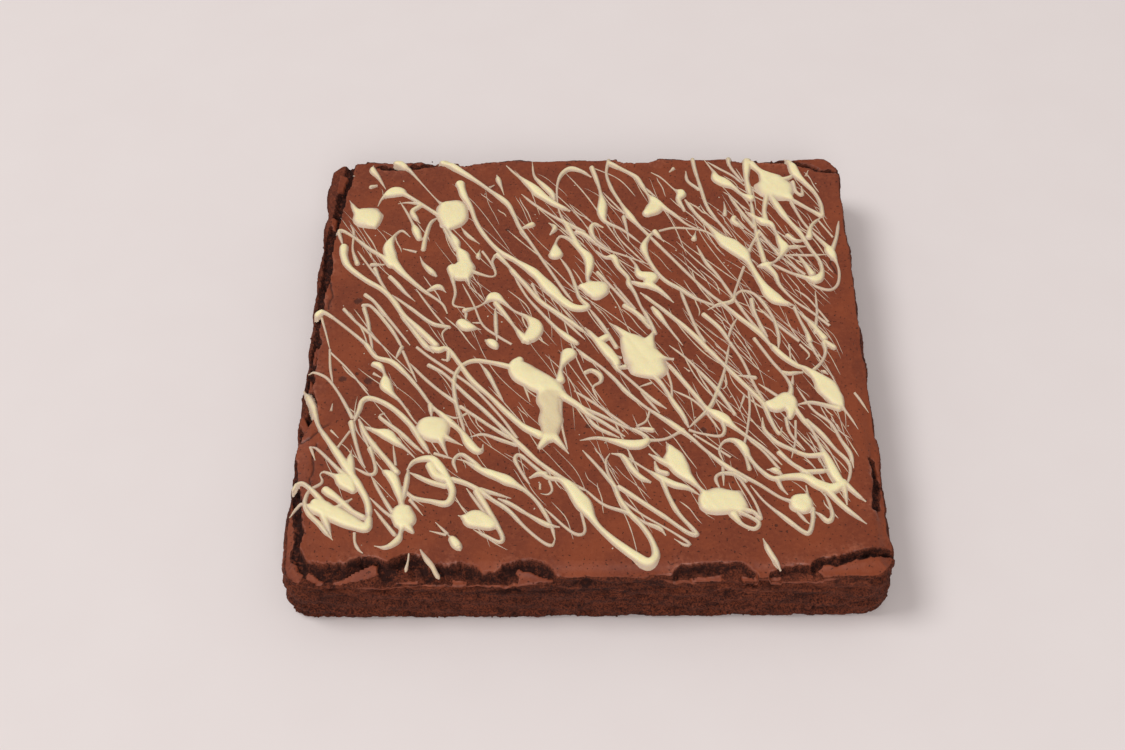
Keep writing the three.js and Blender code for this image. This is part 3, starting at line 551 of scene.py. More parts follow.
# %% Broad flows: x, y and width as seen, in mm, at each station
FLOWS_AS_SEEN = [
    [(-85.5, 100, 1.5), (-85.5, 97, 3.6), (-83, 93, 2.4), (-79.5, 86, 1)],
    [(-82, 76, 1.5), (-80.5, 80.5, 1.6), (-77, 83.5, 5.5), (-74, 84, 5.5), (-70, 81.5, 2.6),
     (-58, 71, 2.6)],
    [(-73.5, 79, 0.8), (-70, 72, 1.4), (-67.5, 66, 1.8), (-66, 62, 4), (-64.5, 57.5, 3.2)],
    [(-74, 77.5, 1), (-70, 78, 1.2), (-65, 76.5, 2.6), (-68, 73, 2.8), (-66.5, 69, 2.8),
     (-64.5, 66, 0.8)],
    [(-75.5, 101.5, 5), (-72.5, 99, 3.6), (-68.5, 94, 1.6), (-58, 78.6, 1.2), (-54, 75, 7),
     (-52, 71.5, 12), (-52, 67, 8), (-53.5, 62, 1.5)],
    [(-55, 66, 2), (-52.5, 60.5, 2.2), (-50, 55.5, 4), (-49, 51.5, 3), (-47, 47.5, 5.4), (-46, 43, 6.4),
     (-47, 39, 7.5), (-44.5, 34.5, 2.4), (-43.5, 30, 0.8)],
    [(-45, 18.5, 3), (-41, 20, 1.3), (-37.5, 22.5, 1.6), (-34.5, 25.5, 5.6), (-31, 23, 2.8),
     (-26.5, 18, 1.5), (-21.5, 14.5, 3), (-18.5, 10, 6), (-19.5, 5.5, 6.5), (-22.5, 2.5, 3)],
    [(-33.5, 22, 3), (-29.5, 15.5, 2.6), (-26, 9.5, 2), (-23, 4.5, 4), (-21, 2, 3)],
    [(-63.5, 47.5, 1.4), (-62, 43.5, 2), (-59, 39.5, 3.4), (-56.5, 36.5, 2.6)],
    [(-93.5, 79.5, 0.8), (-90, 73, 4), (-86, 70, 9), (-84, 69, 9), (-82, 63, 1)],
    [(-93.5, 53, 4.4), (-93, 48, 3.6), (-90.5, 42, 3.4), (-83.5, 35, 3.2), (-76.5, 29.5, 3),
     (-72, 23.5, 3), (-68, 16.5, 2.8), (-62, 9.5, 3.4), (-55, 1, 3.6)],
    [(-68, 58.5, 1.2), (-71.5, 62, 1.6), (-74.5, 58.5, 2.2), (-76, 53, 5), (-74.5, 46.5, 5),
     (-71, 40.5, 4.4), (-67, 35.5, 3.2), (-61, 29, 2), (-54, 22.5, 1.5), (-51.5, 17, 1.8)],
    [(-83, 27, 2.6), (-79.5, 23.5, 2.2), (-74.5, 16, 2), (-69.5, 8.5, 1.6), (-64.5, 1, 1.4)],
    [(-100.2, 18, 4.4), (-96.5, 17, 2.2), (-88.5, 9.5, 1.8), (-80.5, 1, 2), (-75, -6.5, 1.2)],
    [(-57, 101.5, 4.6), (-51.5, 97.5, 3.8), (-44, 91, 2.8), (-38.5, 85.5, 2.2), (-31, 77.5, 3.4),
     (-28, 71, 2.4), (-25, 62.5, 2.4), (-19, 50.5, 1.8), (-8.5, 29.5, 1.8), (-4.5, 22.5, 1.6)],
    [(-35.2, 94, 1.6), (-34.5, 91, 3), (-33, 86, 1.4), (-32, 82, 0.6)],
    [(-49.8, 88.5, 4.6), (-48, 82, 4.2), (-45, 75, 3), (-42.5, 66.5, 2.6), (-38.5, 58, 2.6),
     (-33, 50, 3), (-26, 44, 3.4), (-19, 37.5, 4.6), (-14, 30.5, 5.4), (-9, 23.5, 4.6), (-4, 19, 4.4),
     (1, 19.5, 3.6), (-2, 24.5, 2.4), (-4, 32.5, 2), (-6, 39, 1.8), (-9.5, 46, 1.4)],
    [(-11, 48, 6), (-11.2, 53.5, 1.8), (-9.5, 57.5, 1.8), (-6, 56, 2), (-2.5, 51.5, 3)],
    [(-31.5, 99, 1.4), (-26, 92.5, 2), (-20.5, 86, 4.6), (-17.5, 82, 5), (-12, 76.5, 3.4),
     (-5.5, 72, 2.6)],
    [(-21, 101, 1), (-20, 93, 1.6), (-16.5, 87.5, 3.2), (-13, 82.5, 3.4), (-11.5, 77, 2)],
    [(3, 92, 2), (-1, 95.5, 2.6), (-5.5, 97, 3), (-9, 94, 2.6), (-10.8, 87, 1.3), (-10.5, 76, 1),
     (-9, 69, 1.4), (-6.5, 63, 3.2), (-4, 56, 3.2), (-2, 51, 3.6), (1.5, 45.5, 4.6), (1.8, 40, 4.2),
     (1.2, 34, 2), (3, 30, 3)],
    [(-1, 30, 4), (4, 28.5, 8.6)],
    [(-46, 12, 5), (-44, 10.3, 5.4), (-40.5, 9.3, 2.4), (-38.5, 8.7, 1)],
    [(3.2, 97.5, 2.8), (5, 90.5, 2.6), (6.5, 83, 2), (7.2, 76, 4.2), (7, 70.5, 4.6), (8.5, 65.5, 2.6),
     (15, 61, 1.8), (22, 53.5, 1.2)],
    [(10, 101.5, 2.2), (9, 94, 1.8), (11, 85, 2), (14.5, 76.5, 2), (18, 69, 3.4), (22, 62.5, 2),
     (32, 48, 2), (45.5, 28.5, 1.8), (51.5, 21.5, 2), (57.5, 14, 2.8), (64.5, 6, 2.8), (68, 0, 2)],
    [(10.5, 99.5, 3), (16.5, 95.5, 2.4), (21, 91.5, 3), (23, 87, 2.8), (25.5, 81, 1.8), (28, 76.5, 5.5),
     (27.5, 73, 6.5), (25, 70.5, 5)],
    [(29, 76, 5), (32.5, 72.5, 3), (36, 69, 2.2), (40.5, 64, 1.2), (46.5, 60.5, 1)],
    [(27, 94.5, 1.2), (31, 91, 1), (36, 84, 1.2), (38.7, 81.5, 5), (37.5, 78, 3.2), (39.5, 72, 1.8)],
    [(40, 78, 2.4), (44, 70, 2.2), (50, 61, 2.8), (53, 56, 5), (57, 52, 7), (60.5, 48, 6),
     (63, 43, 3.4), (65, 37, 3.4), (67.5, 30.5, 4.4), (70.5, 25, 6), (74, 21.5, 4.4), (79, 19.5, 1.4)],
    [(44, 101.5, 2.6), (45, 94, 2), (46.5, 85, 2), (48.5, 74.5, 2), (52, 66.5, 1.8), (57.5, 57, 1.4)],
    [(48.5, 101.5, 1), (52, 95, 1.6), (53, 90.5, 5), (55.5, 88, 5.6), (59.5, 85, 3), (62.5, 81, 2.6),
     (66, 78.5, 4.6)],
    [(66, 101.5, 4.4), (65.5, 96, 4), (65.2, 89, 3), (66, 80, 3.4)],
    [(67.5, 98.5, 4), (71.5, 93.5, 4.4), (75, 88, 9), (76.5, 85, 12), (79, 81.5, 7), (82.5, 77.5, 3)],
    [(81, 101.5, 1.2), (83.5, 98.5, 4), (85, 93, 4.8), (88, 88, 3.4), (91.5, 82, 2.6), (93.5, 75, 2.2),
     (93.5, 68.5, 3)],
    [(78, 89, 4), (82, 90.5, 3), (85, 93, 3)],
    [(74, 80, 3), (77, 72, 3.8), (80, 65.5, 2.8), (84, 58, 3), (87, 50, 2.4), (90, 43, 2.4),
     (90.5, 37, 2.6), (88, 33, 4.6), (84, 34, 2.8), (78, 37, 1.8), (72, 41.5, 2.4)],
    [(82, 76, 2), (85.5, 65, 1.6), (90, 56.5, 1.8), (93.5, 51, 3), (94.6, 48, 4.6), (96.5, 42, 1.6),
     (97, 36.5, 1.6), (95.8, 30.5, 1.6), (92.8, 27.5, 1.8), (88.5, 28.6, 1.8), (85, 31.5, 1.4)],
    [(67.5, 67.5, 2), (70, 65, 4.6), (73, 63.5, 3.6), (74.5, 59, 2), (76, 53.5, 4), (77, 50.5, 4.6),
     (75.5, 46, 2.6), (72.5, 42.5, 1.6), (69.5, 41, 4), (66, 40.5, 2)],
    [(69.5, 41, 3.8), (72.5, 36, 3), (74, 30, 2), (79, 22, 1.4), (84.5, 16.5, 1.6), (90.8, 9.2, 1.6)],
    [(79, 57, 3), (82, 54, 2.4), (86, 54.5, 2.6)],
    [(58.8, 67.5, 3.2), (58.5, 65.5, 3.2), (62.3, 61.3, 2.2)],
    [(27.5, 60.5, 2.2), (25, 57, 2.6), (23, 52, 3.8), (24, 46.5, 3), (27, 39, 2.4), (31, 33, 2.4),
     (36, 29, 2.6), (41, 24.5, 2), (47, 21, 1.8), (51, 19.5, 1.2)],
    [(4.5, 49.5, 2), (8, 45.7, 2), (11.2, 45.7, 3.6), (13, 40.5, 3), (16.5, 35, 2.6), (16.8, 31.5, 3),
     (19, 26.5, 2), (21, 20, 1.6), (23.5, 14, 2), (26, 6, 2.6)],
    [(16, 47.5, 1), (19.5, 42, 1.6), (21, 36.5, 4.4), (25.5, 35, 6), (24.5, 31.5, 5), (28.5, 28, 3),
     (33.5, 21.8, 1.6)],
    [(17, 33, 2.6), (21.5, 31, 3.4), (25, 31, 4)],
    [(25.5, 19, 2.4), (27.5, 15.5, 3.4), (31, 9, 1.6), (36, 0, 1.2)],
    [(62.7, 23, 2.4), (63.3, 17, 2.2), (65.5, 9, 2), (67.5, 4, 2)],
    [(78.5, 18.5, 2.2), (80, 12.5, 1.6), (82, 6, 2.4), (82.7, 2, 3.4)],
    [(9, 11.5, 1.2), (12.3, 8, 3), (15.5, 4.3, 5.2), (18.5, 0, 9.5), (20.8, -5.3, 12.8),
     (23, -10.3, 11), (25, -15, 4), (28, -20, 2.6), (31.5, -28, 3), (34.5, -34, 2.8), (36.5, -40, 2.2)],
    [(26, 8.5, 1.4), (24.6, 4.5, 3.4), (22.3, -1, 7.3)],
    [(24, -5, 8), (29, -6.5, 3), (32.5, -7, 3)],
    [(0, 9, 2), (4, 3, 3.4), (8, -3, 5), (11, -8, 4.4), (11.5, -12, 2.4)],
    [(6, 2.5, 4), (8, 4, 4)],
    [(-102, -19.5, 2), (-98, -27.5, 3), (-96.5, -32, 2.8), (-94.3, -38.5, 2), (-90, -45.5, 3.2),
     (-85, -53.5, 3.6), (-81.5, -59.5, 4), (-77.5, -66, 3.6), (-74.5, -72.5, 3.2), (-73.5, -79, 3)],
    [(-92, -60, 1.8), (-91, -58.7, 1.8), (-87, -60.5, 2.6), (-83, -63, 6), (-80, -67, 3.6)],
    [(-92, -60, 1.6), (-91, -63.5, 1.6), (-95, -67, 1.8), (-96, -72.5, 2.2), (-94, -77, 2.6),
     (-90, -81.5, 3), (-87.5, -85, 2.4), (-85, -88, 1)],
    [(-89, -67, 3), (-85.5, -69.5, 2.6), (-80, -75.5, 2.4), (-75.5, -78.5, 3)],
    [(-96, -73, 2), (-90, -75.5, 5.6), (-85, -77.5, 6), (-80, -80.5, 5.4), (-74.5, -83, 4.6),
     (-73.5, -79, 3.4)],
    [(-89, -78, 4), (-87, -83, 2.4), (-85.5, -87, 1)],
    [(-82.5, -37, 2), (-80.8, -31, 2.6), (-80, -26.5, 2.8), (-77.3, -25, 3), (-72.5, -27, 3),
     (-67.5, -31, 3), (-62, -37.5, 3), (-58, -44.5, 3), (-54.5, -50.5, 2.6)],
    [(-75.5, -48.5, 2.8), (-74, -53, 1.8), (-72.8, -58.5, 2), (-75, -60, 1.6), (-81, -56.5, 1.4)],
    [(-77, -8.5, 3.4), (-75, -9.5, 4), (-73, -13, 1.8), (-72.3, -17, 5), (-71.8, -19.5, 5.4),
     (-69.5, -23, 3), (-66, -27, 1.6), (-60, -37, 1)],
    [(-54, -29.5, 2), (-49, -35, 3.2), (-44, -40.5, 3), (-41, -46, 4.2), (-38, -49.5, 3.6),
     (-36.2, -49, 2), (-36, -46.5, 1.4)],
    [(-56, -37, 6), (-54, -39, 9.5), (-51.5, -43, 5), (-50, -47, 2.4), (-48, -52, 1.6)],
    [(-52, -41, 5), (-48, -44, 2.6), (-43, -47, 1)],
    [(-71.5, -32, 1.8), (-73.3, -33.5, 2), (-70.5, -36.5, 2), (-65, -41.5, 2.6), (-60.5, -46.5, 2.2),
     (-56.5, -50.5, 2)],
    [(-79, -38, 1.6), (-74, -40.5, 3), (-70, -42, 5), (-67, -45, 4), (-63, -48.5, 1.8),
     (-59.5, -52.5, 1.6)],
    [(-62, -58, 2.4), (-59.5, -54, 2.8), (-54, -53, 3.8), (-50.5, -57, 4.6), (-47.5, -62.5, 4),
     (-45.8, -68, 3.4), (-47.5, -72.5, 3.6), (-53, -71.5, 2.8), (-59, -70, 2.6), (-62, -66.5, 2.2)],
    [(-54, -56, 4), (-52, -60, 4.6), (-49, -62, 4)],
    [(-70, -58.5, 3), (-67, -61, 4.6), (-64.5, -67, 4), (-62.8, -73, 3.2), (-62.5, -77, 7.4),
     (-61.8, -79, 7.4), (-62.3, -84, 2.6), (-63.3, -88, 3.8), (-67, -91, 2.6), (-71, -90.3, 1)],
    [(-61.5, -58, 2.6), (-62, -66, 2.6), (-62.8, -73, 2.6)],
    [(-60.5, -80, 3), (-58.3, -84, 2)],
    [(-43.5, -77.5, 0.8), (-40, -79, 4.5), (-37, -79.5, 7.5), (-33, -81.5, 5.6), (-30.8, -82.5, 2.6)],
    [(-42.3, -91.3, 1.6), (-44, -88.5, 3.4), (-46.5, -85.5, 1.2)],
    [(-24, -7, 4), (-25, -10, 6.5), (-21.5, -14.5, 8.5), (-16.5, -18, 8.5), (-12, -21.5, 6),
     (-7.5, -25, 4.2), (-2, -29.5, 3.4), (1, -33, 2.6), (7, -37.5, 2), (14, -43.5, 1.6)],
    [(-13, -22, 8), (-12.3, -30, 7.4), (-12.2, -38, 7), (-12.5, -43, 6)],
    [(-13, -43, 5), (-16, -48, 3.2)],
    [(-12, -42, 5), (-8.5, -47, 2.8), (-5.8, -51, 1.6)],
    [(-6, -4.3, 6), (-8.7, -11, 2.4), (-9, -17, 4)],
    [(-57, 0, 3), (-54, -1.5, 3.8), (-50.5, -1, 3), (-46, -8, 2.6), (-41, -16.5, 3), (-34.5, -24, 2.6),
     (-28, -32, 3.2), (-22, -38.5, 3.4), (-16, -42.5, 4.4)],
    [(-45, -53, 1.4), (-42, -54, 1.4), (-38, -57, 2.8), (-33.5, -59.5, 4.6), (-27.5, -62.5, 5),
     (-23, -65.5, 3), (-19.5, -68.5, 2.2), (-15.5, -74, 2), (-11.8, -82, 1.8), (-10.4, -88, 1.8)],
    [(-46, -62, 3), (-41, -64, 3), (-36.5, -67, 3), (-32, -71, 2), (-26.5, -75.5, 2.4),
     (-20.5, -83, 1.8), (-15, -88.7, 1.8), (-11.5, -90.7, 2), (-10.4, -88, 1.8)],
    [(-19.3, -64.5, 2), (-23, -57.5, 1.8), (-24.6, -53, 2), (-22.8, -51.5, 2), (-17.5, -57, 2),
     (-13, -61.5, 2.4), (-9, -62.5, 3), (-6, -65, 4.6), (-3, -69.5, 5.6), (-0.5, -74, 5.6),
     (4, -82.5, 3.2), (10, -89.5, 4), (16, -95, 4.6), (20.5, -97.8, 4.4), (23.2, -95, 3.4),
     (22, -89, 3), (19, -83, 2.6), (15, -77.5, 2.6), (11.5, -71, 2.6), (10, -66, 2.6), (7.8, -60, 1.4),
     (7, -54.5, 1.4), (8.5, -51, 1.4)],
    [(-2, -45, 1.4), (4, -44, 2), (10, -45.5, 3), (15.5, -47.3, 5), (20, -47, 4.6), (21.8, -44.5, 2.4),
     (18, -41, 2.2), (13, -38.5, 1.8), (6, -34, 2), (-2, -29.5, 2.2)],
    [(-3, -2, 2), (0, -5.5, 2.4), (5.5, -10.5, 1.6), (10.5, -16.5, 2), (15, -23, 2.6), (21.5, -30, 1.6),
     (27, -35, 2.4), (32, -39.5, 3), (37, -44.5, 2.2), (42, -50.5, 2), (48.5, -57.5, 2.8),
     (54.5, -62, 2.2), (60, -66, 2), (66, -71, 1.6), (70, -73, 2.4)],
    [(29.5, -8, 2.4), (35, -17, 2.4), (40, -25.5, 2.4), (43.5, -31.5, 2.6), (48.5, -35.5, 5),
     (52.5, -40, 3), (57, -44.5, 2), (63, -50.5, 2), (68, -57, 1.4)],
    [(48.5, -38, 2.4), (49, -41.5, 2), (47, -44, 1.8), (40, -42.5, 1.2), (36.5, -41, 1.6)],
    [(31, 0, 1.2), (37, -6.5, 1.4), (42.5, -14.5, 2), (47, -21.5, 2.4), (51, -29.5, 2.2),
     (53, -33.8, 2)],
    [(43, 1, 2.4), (46.5, -4, 3), (51, -10.5, 2.6), (55.5, -17, 2.4), (60, -23.5, 2.6),
     (63.5, -29, 2.6), (65.2, -35.5, 2.4), (67, -41, 2.2), (68.3, -43, 2), (69.3, -40, 1.2)],
    [(62.5, 3, 2), (65.5, -3, 2), (68.5, -9, 1.8), (72, -15, 1.8), (74, -20.5, 2.2), (73.5, -24.5, 3)],
    [(64.5, -29, 3), (68, -29.5, 6.4), (72, -27.5, 7), (73, -31.5, 5), (72.5, -35.5, 3.4)],
    [(74.5, -31, 3), (77.5, -37.5, 2.6), (80, -42, 1.8), (81.5, -47, 1.8), (83, -52, 3.4),
     (84.5, -57, 4.6), (86, -62, 5), (88, -66, 3.6)],
    [(78.3, -37, 2.4), (82.5, -42.5, 2.6), (87, -50, 2), (90.8, -55.5, 2.2), (91.3, -60, 1.6),
     (89.5, -66, 1.6)],
    [(68, 0.5, 2.6), (72, -5.5, 3.6), (77, -10.5, 3), (80, -12, 3), (84, -16.5, 5.4), (87.3, -22, 7.6),
     (89.5, -27.5, 5.8), (91.8, -31.5, 2), (94, -36, 1.2), (96, -41, 0.8)],
    [(91.3, -1.7, 3), (88, 1, 3), (88, -4, 2), (86, -9, 1.8), (83, -12.5, 2.2)],
    [(85.5, -13, 2.2), (86.8, -13.7, 2.8), (88, -15, 1)],
    [(48, -56, 1.2), (46.6, -50.5, 1.4), (48.5, -46.5, 1.6), (52, -46, 2.8), (55, -49, 4.4),
     (57, -54, 2.6), (60.5, -59.5, 2.4), (64.5, -63, 3), (69.5, -62.3, 3.4), (75, -62.5, 4),
     (79.5, -65.5, 4.8), (84, -67.5, 5), (88, -65.5, 4)],
    [(82, -67, 4), (85.5, -72.5, 3), (89.5, -77.5, 2.4), (94.5, -82.5, 1.4)],
    [(75.5, -66, 1.8), (75.5, -70, 2), (73, -74, 7.6), (74.5, -75, 5)],
    [(67.5, -51.7, 3), (71, -56, 2.2), (75.5, -60, 2.4), (79, -64, 2.6)],
    [(62.5, -59, 1.2), (65.5, -59.5, 3.4), (68, -61.5, 2)],
    [(28.2, -46.2, 1.2), (29.8, -50, 4), (31.5, -55, 7), (33.5, -60, 6), (37, -64.5, 3.4),
     (40, -68.5, 3), (42.5, -72.5, 8), (46, -72.5, 9.5), (50.5, -73, 8), (52, -76, 4.5)],
    [(22, -51.5, 2), (26, -54.5, 2.8), (30, -57, 4)],
    [(14, -52.5, 1.4), (21, -58.5, 1.4), (26, -62.5, 3.4), (30.5, -65.5, 4), (35, -67, 2.6),
     (39.5, -70.5, 1.2)],
    [(-1, -66, 1.2), (6, -73.5, 1.5), (13.5, -77, 2), (20, -81.5, 1.8), (24.8, -84, 2.6),
     (26.8, -87, 1.6)],
]
print("broad flows:", len(FLOWS_AS_SEEN), "stations:", sum(map(len, FLOWS_AS_SEEN)))

# %% [markdown]
# A flow has soft edges, and the rows above count them in, which makes slender flows too full. Typing
# every width again would hide the reason. One rule slims them: most up to a few mm, pools not at all.

# %% True widths of the broad flows
SLIM_SHARE = 0.74
SLIM_UP_TO = 3
FULL_FROM = 8
SLIMMEST = 0.6


def slimmer(width):
    """A width without its soft edges, to a tenth of a mm."""
    share = min(max(width - SLIM_UP_TO, 0) / (FULL_FROM - SLIM_UP_TO), 1)
    return max(round(width * (SLIM_SHARE + (1 - SLIM_SHARE) * share), 1), SLIMMEST)


BROAD_FLOWS = [[(x, y, slimmer(width)) for x, y, width in flow] for flow in FLOWS_AS_SEEN]
print("widths that look 3, 6 and 9 mm are:", [slimmer(width) for width in (3, 6, 9)])

# %% [markdown]
# Finer flows are written the same way, but with their true widths. They are too slender for the solid,
# which leaves them out. The last rows only add lobes and crossings to pools that are already there.

